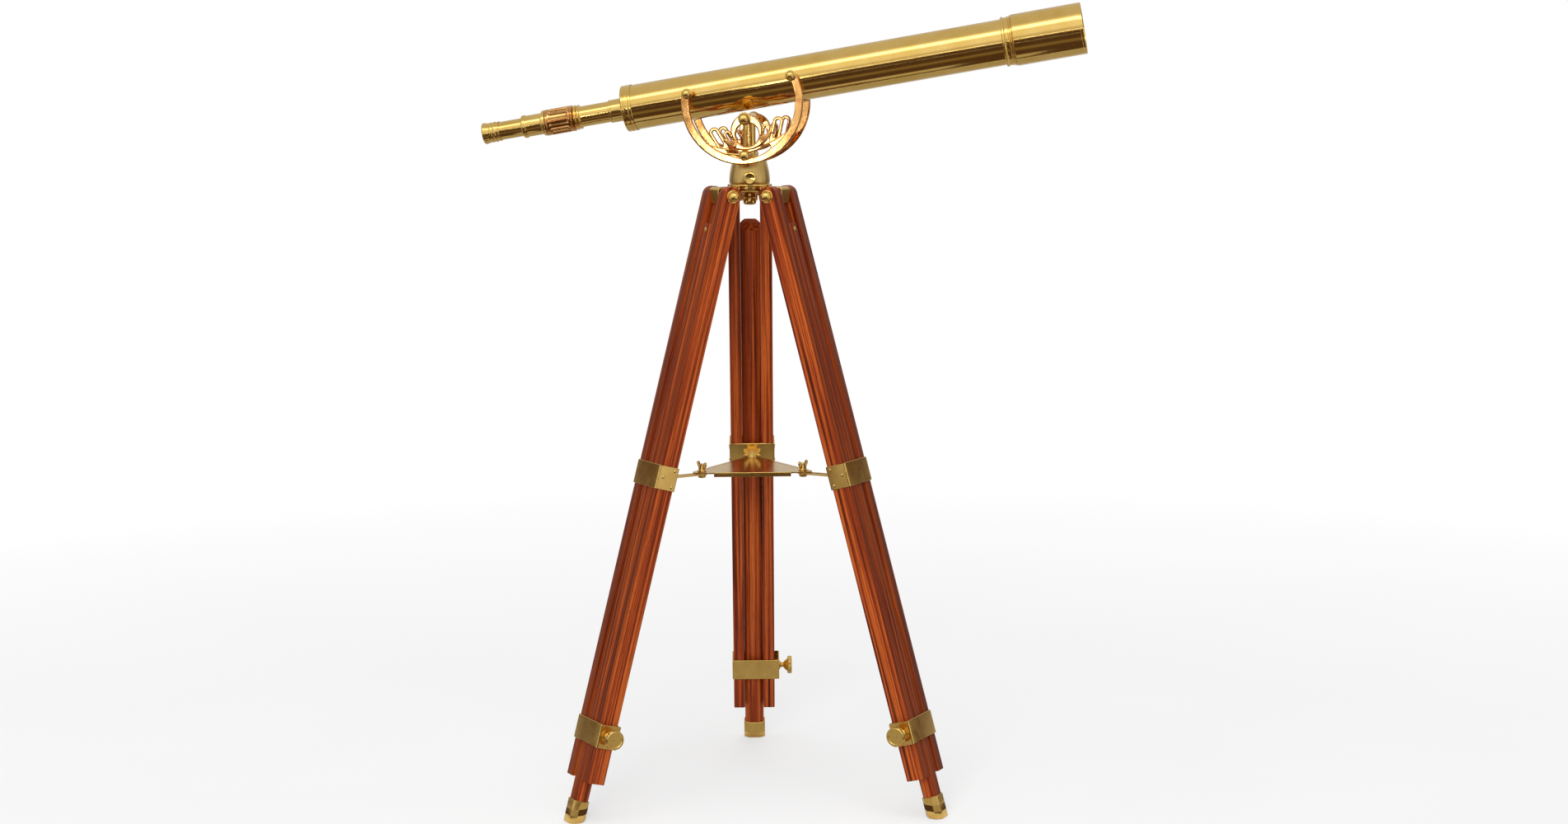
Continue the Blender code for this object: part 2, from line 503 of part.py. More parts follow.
def leg(name, azimuth, hand, root):
    """One leg. Local frame at the hinge: X outwards, Y along the hinge, -Z down the leg."""
    turn = math.radians(azimuth)
    place = (HINGE_RADIUS * math.cos(turn), HINGE_RADIUS * math.sin(turn), HINGE_HEIGHT)
    hinge = empty("leg_%s_hinge" % name, root, place, (0, -LEG_SPREAD, turn))
    half_depth, half_width = LEG_DEPTH / 2, LEG_WIDTH / 2
    crown = half_depth - 0.4 * MM
    knob_at = -(LOW_BAND[0] + LOW_BAND[1]) / 2
    profile = ([(-half_depth, -RAIL_END), (half_depth, -RAIL_END)]
               + [(half_depth * math.cos(a), crown * math.sin(a))
                  for a in [math.pi * i / 8 for i in range(9)]])
    bolt_hole = circle(0, 0, BOLT_RADIUS + GAP, 10)
    knob_hole = circle(0, knob_at, BOLT_RADIUS + GAP, 10)
    for word, side in (("near", hand), ("far", -hand)):
        holes = [bolt_hole, knob_hole] if side == hand else [bolt_hole]
        low, high = sorted((side * (half_width - RAIL_WIDTH), side * half_width))
        rail = add_object("leg_%s_rail_%s" % (name, word), slab(profile, holes, low, high), hinge, WOOD,
                          smooth=False)
        bevel = rail.modifiers.new("eased_edges", "BEVEL")
        bevel.width = 0.8 * MM
        bevel.segments = 1
        bevel.limit_method = "ANGLE"
        bevel.angle_limit = math.radians(60)

    far, near = -hand * half_width, hand * (half_width + GAP)
    bolt = [(far, 0), (far, BOLT_RADIUS), (near, BOLT_RADIUS), (near, 8.6 * MM)]
    bolt += [(near + hand * 1.4 * MM, 8.6 * MM), (near + hand * 1.6 * MM, 6.6 * MM),
             (near + hand * 5.2 * MM, 6.6 * MM), (near + hand * 8.2 * MM, 4.8 * MM),
             (near + hand * 9.6 * MM, 2.4 * MM), (near + hand * 10.0 * MM, 0)]
    add_object("leg_%s_bolt" % name, turned(bolt, 12, "Y"), hinge, BRASS)

    for word, (top, bottom) in (("mid", MID_BAND), ("low", LOW_BAND)):
        band(name, word, -bottom, -top, hinge, hand)
    slide(name, hinge)
    thumbscrew(name, hand, knob_at, hinge)
    strap(name, turn, root)


def band(name, word, low, high, hinge, hand):
    """Brass band round both rails; the middle one carries the strap's ears and pin."""
    stand = BAND_STAND if word == "low" else 0.0
    inner_x, inner_y = LEG_DEPTH / 2 + GAP, LEG_WIDTH / 2 + GAP
    near_y = inner_y + stand

    def frame(wall):
        """Rectangle round the leg, `wall` outside the band's inner face."""
        x, back, front = inner_x + wall, -hand * (inner_y + wall), hand * (near_y + wall)
        return [(-x, back), (x, back), (x, front), (-x, front)]

    obj = add_object("leg_%s_%s_band" % (name, word), slab(frame(BAND_WALL), [frame(0)], low, high, "XY"),
                     hinge, BRASS, smooth=False)
    if word == "low":
        near, far = sorted((hand * (near_y + 0.4 * MM), hand * (near_y + BAND_WALL + 1.6 * MM)))
        boss = turned([(near, 0), (near, 6.6 * MM), (far, 6.6 * MM), (far, 0)], 14, "Y")
        middle = (low + high) / 2
        cut_by(obj, "UNION", boss, "band_boss", (0, 0, middle))
        drill = turned([(near - 9 * MM, 0), (near - 9 * MM, BOLT_RADIUS + GAP),
                        (far + 9 * MM, BOLT_RADIUS + GAP), (far + 9 * MM, 0)], 10, "Y")
        cut_by(obj, "DIFFERENCE", drill, "band_drill", (0, 0, middle))
        return
    pin = pin_in_leg()
    ear = [(-inner_x - 0.6 * MM, pin[1] - 4.5 * MM), (-inner_x - 0.6 * MM, pin[1] + 4.5 * MM)]
    ear += arc(pin[0], pin[1], 3.6 * MM, math.radians(70), math.radians(290), 6)
    for side in (-1, 1):
        near, far = sorted((side * (STRAP_WIDTH / 2 + GAP), side * (STRAP_WIDTH / 2 + 3 * MM)))
        cut_by(obj, "UNION", slab(ear, [], near, far), "band_ear_%d" % side)
    rod = turned([(-9 * MM, 0), (-9 * MM, 1.7 * MM), (9 * MM, 1.7 * MM), (9 * MM, 0)], 8, "Y")
    cut_by(obj, "UNION", rod, "band_pin", (pin[0], 0, pin[1]))


def pin_in_leg():
    """The strap pin's place in a leg's own frame, as (outward, up)."""
    out, rise = STRAP_PIN[0] - HINGE_RADIUS, STRAP_PIN[1] - HINGE_HEIGHT
    cos, sin = math.cos(LEG_SPREAD), math.sin(LEG_SPREAD)
    return (out * cos + rise * sin, rise * cos - out * sin)


def slide(name, hinge):
    """Sliding rail and its brass shoe, cut level with the floor."""
    half_width = LEG_WIDTH / 2 - RAIL_WIDTH - GAP
    low_x, high_x = SLIDE_OFFSET - SLIDE_DEPTH / 2, SLIDE_OFFSET + SLIDE_DEPTH / 2
    slope = math.tan(LEG_SPREAD)
    floor_at = HINGE_HEIGHT / math.cos(LEG_SPREAD)

    def level(x, lift):
        """Height along the leg of a level plane `lift` above the floor, at x across the leg."""
        return -floor_at - x * slope + lift / math.cos(LEG_SPREAD)

    def prism(grow, lift, top, slant=0.0):
        """Bar with chamfered corners, `grow` larger all round, from a level plane up to `top`."""
        x0, x1, y1 = low_x - grow, high_x + grow, half_width + grow
        cut = SLIDE_CHAMFER + grow * (2 - math.sqrt(2))
        corners = [(x1, y1 - cut), (x1 - cut, y1), (x0 + cut, y1), (x0, y1 - cut)]
        outline = corners + [(x, -y) for x, y in reversed(corners)]
        bm = slab(outline, [], -floor_at, top, "XY")
        for vert in bm.verts:
            if vert.co.z < top - 1 * MM:
                vert.co.z = level(vert.co.x, lift)
            else:
                vert.co.z -= slant * (x1 - vert.co.x)
        return bm

    sole = 6 * MM
    add_object("leg_%s_slide" % name, prism(0, sole + GAP, -SLIDE_TOP, SLIDE_SLANT), hinge, WOOD,
               smooth=False)
    top = level(SLIDE_OFFSET, sole) + SHOE_HEIGHT
    shoe = add_object("leg_%s_shoe" % name, prism(GAP + SHOE_WALL, 0, top), hinge, BRASS, smooth=False)
    cut_by(shoe, "DIFFERENCE", prism(GAP, sole, top + 9 * MM), "shoe_socket")


def thumbscrew(name, hand, height, hinge):
    """Knurled clamp screw through the lower band and the near rail."""
    face = LEG_WIDTH / 2 + BAND_STAND + BAND_WALL + 1.6 * MM + 2 * GAP
    tip = LEG_WIDTH / 2 - RAIL_WIDTH + GAP
    reach = ((tip, 0), (tip, BOLT_RADIUS), (face, BOLT_RADIUS), (face, 3.6 * MM), (face + 3.5 * MM, 3.6 * MM),
             (face + 6.5 * MM, 7.5 * MM), (face + 9.5 * MM, 9.5 * MM), (face + 10 * MM, 11.6 * MM),
             (face + 11 * MM, 12.4 * MM), (face + 15 * MM, 12.4 * MM), (face + 16 * MM, 11.6 * MM),
             (face + 16 * MM, 0))
    outline = [(hand * y, r) for y, r in reach]
    add_object("leg_%s_thumbscrew" % name, turned(outline, 16, "Y"), hinge, BRASS, (0, 0, height))


# ------------------------------------------------------------------- spreader

def strap(name, turn, root):
    """Slotted strap, hinged to the leg's middle band and sliding under the spreader."""
    swing = empty("strap_%s_pin" % name, root,
                  (STRAP_PIN[0] * math.cos(turn), STRAP_PIN[0] * math.sin(turn), STRAP_PIN[1]), (0, 0, turn))
    half = STRAP_WIDTH / 2
    inner = WING_REACH - STRAP_PIN[0]
    top = SPREADER_TOP - SPREADER_WALL - GAP - STRAP_PIN[1]
    outline = arc(inner, 0, half, math.pi / 2, 1.5 * math.pi, 6) + [(-3.2 * MM, -half), (-3.2 * MM, half)]
    slot = capsule((inner - 0.2 * MM, 0), (inner + SLOT_TRAVEL, 0), BOLT_RADIUS + 0.5 * MM, 5)
    obj = add_object("strap_%s" % name, slab(outline, [slot], top - STRAP_WALL, top, "XY"), swing, BRASS,
                     smooth=False)
    eye_bore = 1.7 * MM + GAP
    eye = turned(tube_outline(-half, half, 3.4 * MM, eye_bore), 10, "Y")
    cut_by(obj, "UNION", eye, "strap_eye")
    bore = turned([(-half - 2 * MM, 0), (-half - 2 * MM, eye_bore), (half + 2 * MM, eye_bore),
                   (half + 2 * MM, 0)], 10, "Y")
    cut_by(obj, "DIFFERENCE", bore, "strap_bore")


def spreader(root):
    """Rounded triangle with a turned-down lip along each side and a screw at each tip."""
    outline = []
    for _, azimuth, _ in LEGS:
        turn = math.radians(azimuth)
        outline += arc(TIP_REACH * math.cos(turn), TIP_REACH * math.sin(turn), TIP_RADIUS,
                       turn - math.pi / 3, turn + math.pi / 3, 6)
    holes = [circle(WING_REACH * math.cos(math.radians(a)), WING_REACH * math.sin(math.radians(a)),
                    BOLT_RADIUS + GAP, 10) for _, a, _ in LEGS]
    low = SPREADER_TOP - SPREADER_WALL
    obj = add_object("spreader_plate", slab(outline, holes, low, SPREADER_TOP, "XY"), root, BRASS, smooth=False)
    edge = TIP_REACH / 2 + TIP_RADIUS
    for name, azimuth, _ in LEGS:
        lip = box((edge - 1.7 * MM, -50 * MM, low - 4 * MM), (edge + 0.3 * MM, 50 * MM, SPREADER_TOP + 0.2 * MM))
        cut_by(obj, "UNION", lip, "lip_" + name, rotation=(0, 0, math.radians(azimuth + 180)))
    for name, azimuth, _ in LEGS:
        turn = math.radians(azimuth)
        axis = empty("wing_%s_axis" % name, root,
                     (WING_REACH * math.cos(turn), WING_REACH * math.sin(turn), SPREADER_TOP), (0, 0, turn))
        wing_screw(name, axis)


def wing_screw(name, axis):
    """Bolt with a wing nut on top of the spreader and a round head under the strap."""
    under = -SPREADER_WALL - GAP - STRAP_WALL - 1.2 * MM
    bolt = [(under - 2.6 * MM, 0), (under - 2.6 * MM, 5.2 * MM), (under, 5.2 * MM), (under, BOLT_RADIUS),
            (GAP, BOLT_RADIUS), (GAP, 5.6 * MM), (1.4 * MM, 5.6 * MM), (2.2 * MM, 4.4 * MM),
            (7.5 * MM, 3.6 * MM), (8.6 * MM, 2.2 * MM), (8.9 * MM, 0)]
    obj = add_object("wing_screw_%s" % name, turned(bolt, 12, "Z"), axis, BRASS)
    for side in (-1, 1):
        wing = capsule((side * 3.0 * MM, 4.0 * MM), (side * 8.6 * MM, 10.0 * MM), 2.9 * MM, 4)
        cut_by(obj, "UNION", slab(wing, [], -1.1 * MM, 1.1 * MM, "YZ"), "wing_%d" % side)


def centre_footprint(root):
    """Moves the root so that the middle of the assembly's plan is over the origin."""
    bpy.context.view_layer.update()
    points = [obj.matrix_world @ vert.co for obj in bpy.data.objects
              if obj.type == "MESH" and not obj.hide_render for vert in obj.data.vertices]
    for k in (0, 1):
        values = [point[k] for point in points]
        root.location[k] = -(min(values) + max(values)) / 2


def build():
    clear_scene()
    root = empty("telescope_and_tripod")
    azimuth = empty("azimuth_axis", root, (0, 0, 0), (0, 0, AIM_YAW))
    pivot = empty("altitude_axis", azimuth, (0, 0, PIVOT_HEIGHT), (0, -AIM_PITCH, 0))
    tube = empty("optical_axis", pivot, (0, 0, TUBE_RISE))
    objective_end(tube)
    body_tube(tube)
    eyepiece_end(tube)
    cradle(pivot)
    saddle(azimuth)
    lock_lever(azimuth)
    pillar(azimuth)
    head(root)
    for name, turn, hand in LEGS:
        leg(name, turn, hand, root)
    spreader(root)
    centre_footprint(root)


build()
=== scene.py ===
"""Looks of a brass refracting telescope in an anchor cradle on a folding mahogany tripod.

Metres, +Z up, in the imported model's own frame. Every visible piece is built here in fine
detail at the place of the CAD node that it stands for, and rides on that node's body.
"""

from math import acos, atan2, cos, degrees, hypot, pi, radians, sin, sqrt, tan

import bmesh
import bpy
import numpy as np
from mathutils import Matrix, Vector


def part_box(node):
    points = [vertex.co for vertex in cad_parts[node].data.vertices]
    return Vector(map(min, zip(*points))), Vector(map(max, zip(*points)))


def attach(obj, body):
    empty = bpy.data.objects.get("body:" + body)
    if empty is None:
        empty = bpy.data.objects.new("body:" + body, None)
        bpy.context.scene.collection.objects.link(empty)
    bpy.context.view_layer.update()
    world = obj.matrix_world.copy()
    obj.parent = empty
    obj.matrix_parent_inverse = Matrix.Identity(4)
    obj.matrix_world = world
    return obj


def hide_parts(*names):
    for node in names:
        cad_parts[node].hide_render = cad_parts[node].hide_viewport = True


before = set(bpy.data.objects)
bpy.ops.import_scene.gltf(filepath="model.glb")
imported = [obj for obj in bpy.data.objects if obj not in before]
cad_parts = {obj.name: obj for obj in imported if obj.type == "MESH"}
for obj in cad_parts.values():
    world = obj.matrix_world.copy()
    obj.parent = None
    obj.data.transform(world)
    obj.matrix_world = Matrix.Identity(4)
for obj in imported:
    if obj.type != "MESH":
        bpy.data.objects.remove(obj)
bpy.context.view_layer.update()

MM = 0.001
GAP = 0.3 * MM

# Aim of the telescope at rest, and the places of the joints
AIM_YAW = radians(-9)
AIM_PITCH = radians(9.4)
PIVOT_HEIGHT = 892 * MM
LOCK_HEIGHT = 845.6 * MM
TUBE_RISE = 39.4 * MM
AZIMUTH_LOCK_HEIGHT = 816 * MM
HEAD_TOP = 808 * MM
LUG_PLAY = 3 * MM
PILLAR_TOP = 838 * MM

# Optical tube
TUBE_START, TUBE_END = -154.8 * MM, 344 * MM
SHADE_START, SHADE_END = 352 * MM, 441 * MM

# Cradle plates: middle plane, and the seat of a screw head on the face, in millimetres
PLATE_MID = 35 * MM
SEAT = 37.3
SCREW_X, SCREW_Z = 68 * MM, 44 * MM

# Legs
LEG_SPREAD = radians(15.85)
HINGE_RADIUS, HINGE_HEIGHT = 42.3 * MM, 793.3 * MM
LEG_WIDTH, LEG_DEPTH = 58 * MM, 25.5 * MM
RAIL_WIDTH = 15.5 * MM
RAIL_END = 770 * MM
SLIDE_TOP, SLIDE_SLANT = 38 * MM, 0.6
SLIDE_DEPTH, SLIDE_OFFSET, SLIDE_CHAMFER = 18.8 * MM, 2.2 * MM, 5.6 * MM
SLIDE_HALF = LEG_WIDTH / 2 - RAIL_WIDTH - GAP
SHOE_HEIGHT, SHOE_WALL = 22 * MM, 1.4 * MM
MID_BAND = (354 * MM, 384.7 * MM)
LOW_BAND = (692 * MM, 722.4 * MM)
BAND_WALL, BAND_STAND = 1.5 * MM, 5 * MM
BOSS_RISE = 1.6
LEGS = (("rear", 90, -1), ("left", 210, 1), ("right", 330, -1))

# Spreader
SPREADER_TOP, SPREADER_WALL = 437 * MM, 1.8 * MM
TIP_REACH, TIP_RADIUS, WING_REACH = 78 * MM, 10 * MM, 76 * MM
STRAP_PIN = (124.5 * MM, 432.6 * MM)
STRAP_WIDTH, STRAP_WALL, SLOT_TRAVEL = 14 * MM, 2 * MM, 34 * MM


def at(x, y, z):
    return Matrix.Translation((x, y, z))


def turn(angle, axis):
    return Matrix.Rotation(angle, 4, axis)


pillar_low, pillar_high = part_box("bell_pillar")
BASE = at((pillar_low.x + pillar_high.x) / 2, (pillar_low.y + pillar_high.y) / 2, 0)
AZIMUTH = BASE @ turn(AIM_YAW, "Z")
CRADLE = AZIMUTH @ at(0, 0, PIVOT_HEIGHT) @ turn(-AIM_PITCH, "Y")
TUBE = CRADLE @ at(0, 0, TUBE_RISE)


def leg_frame(azimuth):
    """Frame at a leg's hinge: X outwards, Y along the hinge, -Z down the leg."""
    spin = radians(azimuth)
    return (BASE @ at(HINGE_RADIUS * cos(spin), HINGE_RADIUS * sin(spin), HINGE_HEIGHT)
            @ turn(spin, "Z") @ turn(-LEG_SPREAD, "Y"))


# ---- materials

class Look:
    """A node material under construction, with short calls for the nodes it needs."""

    def __init__(self, name):
        self.material = bpy.data.materials.new(name)
        self.material.use_nodes = True
        self.tree = self.material.node_tree
        self.shader = self.tree.nodes["Principled BSDF"]
        self.coords = self.node("TexCoord").outputs["Object"]

    def feed(self, socket, value):
        if isinstance(value, bpy.types.NodeSocket):
            self.tree.links.new(value, socket)
        else:
            socket.default_value = (*value, 1) if socket.type == "RGBA" else value

    def feed_named(self, node, values):
        for name, value in values.items():
            self.feed(node.inputs[name.replace("_", " ").title().replace("Ior", "IOR")], value)

    def node(self, kind, *values, **named):
        """New node with its sockets set or linked, by place or by name."""
        node = self.tree.nodes.new("ShaderNode" + kind)
        for socket, value in zip(node.inputs, values):
            self.feed(socket, value)
        self.feed_named(node, named)
        return node

    def scaled(self, x, y, z):
        """Object coordinates stretched along each axis."""
        return self.node("Mapping", vector=self.coords, scale=(x, y, z)).outputs["Vector"]

    def noise(self, scale, detail=3, roughness=0.5, vector=None, distortion=0):
        return self.node("TexNoise", vector=vector or self.coords, scale=scale, detail=detail,
                         roughness=roughness, distortion=distortion).outputs["Fac"]

    def ramp(self, factor, *stops):
        """Colour ramp through (position, colour) stops."""
        node = self.node("ValToRGB", factor)
        elements = node.color_ramp.elements
        while len(elements) < len(stops):
            elements.new(0.5)
        for element, (position, colour) in zip(elements, stops):
            element.position = position
            element.color = (*colour, 1)
        return node.outputs["Color"]

    def span(self, factor, low, high, start=0.3, end=0.7):
        """Maps a factor between start and end to the range low to high."""
        return self.node("MapRange", factor, start, end, low, high).outputs["Result"]

    def blend(self, factor, a, b):
        node = self.node("Mix", factor)
        node.data_type = "RGBA"
        colours = [socket for socket in node.inputs if socket.type == "RGBA"]
        for socket, value in zip(colours, (a, b)):
            self.feed(socket, value)
        return [socket for socket in node.outputs if socket.type == "RGBA"][0]

    def compute(self, kind, *values):
        node = self.node("Math", *values)
        node.operation = kind
        return node.outputs[0]

    def bump(self, height, strength, distance):
        node = self.node("Bump", height=height, strength=strength, distance=distance)
        self.feed(self.shader.inputs["Normal"], node.outputs["Normal"])

    def mixed(self, factor, first, second):
        """Shows a mix of two shaders as the surface."""
        mix = self.node("MixShader", factor, first.outputs[0], second.outputs[0])
        self.show(mix)

    def show(self, shader):
        self.feed(self.tree.nodes["Material Output"].inputs["Surface"], shader.outputs[0])

    def set(self, **values):
        self.feed_named(self.shader, values)
        return self.material


def metal(name, bright, deep, low, high, lines, line_strength, mottle=30):
    """Cast or turned metal: drifting colour, smudged polish and fine tool lines along `lines`."""
    look = Look(name)
    drift = look.noise(mottle, 4, 0.6)
    smudge = look.noise(14, 6, 0.65, distortion=0.6)
    specks = look.noise(900, 2, 0.5)
    colour = look.blend(look.span(drift, 0, 1), bright, deep)
    tarnish = tuple(0.62 * c for c in deep)
    colour = look.blend(look.span(specks, 0, 0.35, 0.66, 0.78), colour, tarnish)
    tool = look.noise(1, 3, 0.6, look.scaled(*lines))
    rough = look.compute("ADD", look.span(smudge, low, high), look.span(tool, 0, 0.03))
    look.bump(tool, line_strength, 0.15 * MM)
    return look.set(base_color=colour, metallic=1, roughness=rough)


def wood():
    """Red mahogany under satin varnish: dark ribbon lines, fine pores, painted shade on outer
    faces.
    """
    look = Look("mahogany")
    wander = look.noise(1, 2, 0.5, look.scaled(30, 30, 5))
    figure = look.noise(1, 4, 0.62, look.scaled(260, 260, 3), distortion=0.3)
    fibre = look.noise(1, 5, 0.7, look.scaled(900, 900, 14))
    pores = look.noise(1, 2, 0.5, look.scaled(1500, 1500, 60))
    colour = look.ramp(
        figure, (0.36, (0.045, 0.005, 0.0015)), (0.43, (0.18, 0.024, 0.005)),
        (0.51, (0.34, 0.054, 0.009)), (0.61, (0.56, 0.124, 0.018)), (0.73, (0.19, 0.025, 0.005)))
    colour = look.blend(look.span(wander, 0, 0.4), colour, (0.25, 0.035, 0.006))
    colour = look.blend(look.span(fibre, 0, 0.6, 0.5, 0.8), colour, (0.06, 0.008, 0.002))
    colour = look.blend(look.span(pores, 0, 0.7, 0.62, 0.72), colour, (0.04, 0.007, 0.003))
    # Painted shade: the outer faces, from 11.2 mm out along X, blend half way to near-black brown.
    split = look.node("SeparateXYZ", look.coords)
    outward = look.span(split.outputs["X"], 0, 0.5, 11.2 * MM, 11.7 * MM)
    colour = look.blend(outward, colour, (0.055, 0.008, 0.003))
    height = look.compute("ADD", look.span(fibre, 0, 0.6), look.span(pores, 0, -0.8, 0.6, 0.75))
    look.bump(height, 0.35, 0.12 * MM)
    return look.set(base_color=colour, roughness=look.span(fibre, 0.32, 0.48),
                    specular_ior_level=0.14, coat_weight=0.03, coat_roughness=0.18)


def glass():
    """Clear lens glass with a faint bloom of coating and a little dust."""
    look = Look("lens_glass")
    dust = look.noise(260, 6, 0.7)
    tint = look.ramp(look.noise(18), (0.3, (0.90, 0.97, 0.95)), (0.7, (0.86, 0.92, 1)))
    return look.set(base_color=tint, roughness=look.span(dust, 0, 0.06, 0.5, 0.8),
                    transmission_weight=1, ior=1.52)


BRASS_BRIGHT, BRASS_DEEP = (0.88, 0.60, 0.19), (0.80, 0.51, 0.13)
ALONG_X, ALONG_Y, ALONG_Z = (2600, 6, 6), (6, 2600, 6), (6, 6, 2600)
TUBE_BRASS = metal("polished_brass", BRASS_BRIGHT, BRASS_DEEP, 0.07, 0.13, ALONG_X, 0.05)
SCREW_BRASS = metal("turned_brass", BRASS_BRIGHT, BRASS_DEEP, 0.12, 0.22, ALONG_Y, 0.06)
POST_BRASS = metal("post_brass", BRASS_BRIGHT, BRASS_DEEP, 0.12, 0.22, ALONG_Z, 0.06)
SHEET_BRASS = metal("rolled_brass", (0.84, 0.56, 0.17), (0.72, 0.44, 0.12), 0.14, 0.28,
                    (40, 900, 40), 0.10, 55)
SATIN_BRASS = metal("satin_brass", (0.72, 0.50, 0.18), (0.62, 0.41, 0.13), 0.26, 0.36, ALONG_Z,
                    0.22)
COPPER = metal("copper_bronze", (0.82, 0.46, 0.16), (0.50, 0.20, 0.05), 0.05, 0.09, (75, 75, 75),
               0.30, 60)
WOOD = wood()
GLASS = glass()


# ---- mesh building

def placed(name, data, place):
    """New object in the scene at a place."""
    obj = bpy.data.objects.new(name, data)
    bpy.context.scene.collection.objects.link(obj)
    obj.matrix_world = place
    return obj


def to_mesh(name, bm):
    mesh = bpy.data.meshes.new(name)
    bm.to_mesh(mesh)
    bm.free()
    return mesh


def piece(name, bm, place, body, look, extra=False, bevel=0, segments=2, sharp=38):
    """Turns a bmesh into a piece on a body, standing for the CAD node of its name or extra."""
    bmesh.ops.recalc_face_normals(bm, faces=bm.faces)
    mesh = to_mesh(name, bm)
    mesh.shade_smooth()
    obj = placed(name, mesh, place)
    mesh.materials.append(look)
    if bevel:
        modifier = obj.modifiers.new("eased", "BEVEL")
        modifier.width = bevel
        modifier.segments = segments
        modifier.limit_method = "ANGLE"
        modifier.angle_limit = radians(30)
        modifier.harden_normals = True
    else:
        mesh.set_sharp_from_angle(angle=radians(sharp))
    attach(obj, body)
    if not extra:
        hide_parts(name)


def join(*parts):
    """One bmesh from (bmesh, matrix) pairs or plain bmeshes."""
    whole = bmesh.new()
    for part in parts:
        bm, place = part if isinstance(part, tuple) else (part, Matrix.Identity(4))
        bm.transform(place)
        carrier = to_mesh("carrier", bm)
        whole.from_mesh(carrier)
        bpy.data.meshes.remove(carrier)
    return whole


def flip(hand):
    """Half turn for a part that points along -Y."""
    return turn(0 if hand > 0 else pi, "Z")


def arc(x, y, radius, start, end, count=12):
    """Points on an arc, both ends included; angles in degrees."""
    spans = [radians(start + (end - start) * i / count) for i in range(count + 1)]
    return [(x + radius * cos(a), y + radius * sin(a)) for a in spans]


def soft(points, radius, steps=3, closed=True):
    """Rounds each corner of an outline by up to `radius`, along a parabola."""
    out = []
    count = len(points)
    for i, corner in enumerate(points):
        if not closed and i in (0, count - 1):
            out.append(corner)
            continue
        here = Vector(corner)
        back, ahead = Vector(points[i - 1]) - here, Vector(points[(i + 1) % count]) - here
        if back.length < 1e-9 or ahead.length < 1e-9 or back.angle(ahead) > radians(158):
            out.append(corner)
            continue
        cut = min(radius, 0.45 * back.length, 0.45 * ahead.length)
        a, b = here + back.normalized() * cut, here + ahead.normalized() * cut
        for k in range(steps + 1):
            t = k / steps
            out.append(tuple(a.lerp(here, t).lerp(here.lerp(b, t), t)))
    return out


def turned(outline, segments=64, axis="X"):
    """Turns (along, radius) points about an axis; ends at radius 0 close on the axis."""
    bm = bmesh.new()
    rings = []
    for along, radius in outline:
        ring = []
        for i in range(segments if radius > 1e-7 else 1):
            angle = 2 * pi * i / segments
            a, b = radius * cos(angle), radius * sin(angle)
            ring.append(bm.verts.new({"X": (along, a, b), "Y": (b, along, a),
                                      "Z": (a, b, along)}[axis]))
        rings.append(ring)
    following = rings[1:] + ([rings[0]] if outline[0][1] > 1e-7 else [])
    for low, high in zip(rings, following):
        for i in range(segments):
            j = (i + 1) % segments
            corners = [low[i % len(low)], low[j % len(low)], high[j % len(high)],
                       high[i % len(high)]]
            face = [v for k, v in enumerate(corners) if v not in corners[:k]]
            if len(face) > 2:
                bm.faces.new(face)
    return bm


def lathe(outline, segments=64, axis="X", fillet=0.35):
    """Turned piece from (along, radius) points in millimetres, with eased corners."""
    closed = outline[0][1] > 1e-4
    return turned([(a * MM, r * MM) for a, r in soft(outline, fillet, closed=closed)], segments,
                  axis)


def bead(centre, seat, radius, steps=6):
    """Half-round bead on a turned outline that runs towards lower values."""
    return arc(centre, seat, radius, 0, 180, steps)


def past(seat, points):
    """The same outline with its distances counted from a seat."""
    return [(seat + along, radius) for along, radius in points]


def ball(centre, radius, start, end, steps=14):
    """Ball outline between two distances along the axis from its centre, low to high."""
    first, last = degrees(acos(start / radius)), degrees(acos(end / radius))
    return [(x, abs(r)) for x, r in arc(centre, 0, radius, first, last, steps)]


def slab(outline, holes, low, high, plane="XZ"):
    """Extrudes a flat outline with holes from low to high, across the named plane."""
    bm = bmesh.new()
    order = {"XZ": (0, 2, 1), "XY": (0, 1, 2), "YZ": (1, 2, 0)}[plane]

    def place(a, b, depth):
        values = dict(zip(order, (a, b, depth)))
        return Vector((values[0], values[1], values[2]))

    edges = []
    for loop in [outline] + list(holes):
        verts = [bm.verts.new(place(a, b, low)) for a, b in loop]
        edges += [bm.edges.new((verts[i - 1], verts[i])) for i in range(len(verts))]
    if holes:
        bmesh.ops.triangle_fill(bm, edges=edges, use_beauty=True)
        bmesh.ops.dissolve_limit(bm, angle_limit=0.01, verts=bm.verts, edges=bm.edges)
    else:
        bm.faces.new(bm.verts)
    made = bmesh.ops.extrude_face_region(bm, geom=list(bm.faces))
    moved = [v for v in made["geom"] if isinstance(v, bmesh.types.BMVert)]
    bmesh.ops.translate(bm, verts=moved, vec=place(0, 0, high) - place(0, 0, low))
    return bm


def stacked(loops):
    """Skins a stack of equal closed loops of 3D points and caps both ends."""
    bm = bmesh.new()
    rings = [[bm.verts.new(p) for p in loop] for loop in loops]
    for low, high in zip(rings, rings[1:]):
        for i in range(len(low)):
            bm.faces.new((low[i - 1], low[i], high[i], high[i - 1]))
    bm.faces.new(rings[0])
    bm.faces.new(rings[-1])
    return bm


def screw_head(radius, rise, slot=0):
    """Low domed screw head along +X with a driver slot, standing on x = 0."""
    dome = turned([(0, 0), (0, radius), (rise * 0.4, radius), (rise * 0.8, radius * 0.75),
                   (rise, radius * 0.35), (rise, 0)], 24)
    if not slot:
        return dome
    bar = slab([(-radius * 0.8, -slot / 2), (radius * 0.8, -slot / 2), (radius * 0.8, slot / 2),
                (-radius * 0.8, slot / 2)], [], rise * 0.9, rise * 1.02, "YZ")
    return join(dome, bar)


# ---- optical tube

def on_tube(name, outline, segments, fillet, body, look=TUBE_BRASS):
    piece(name, lathe(outline, segments, "X", fillet), TUBE, body, look)


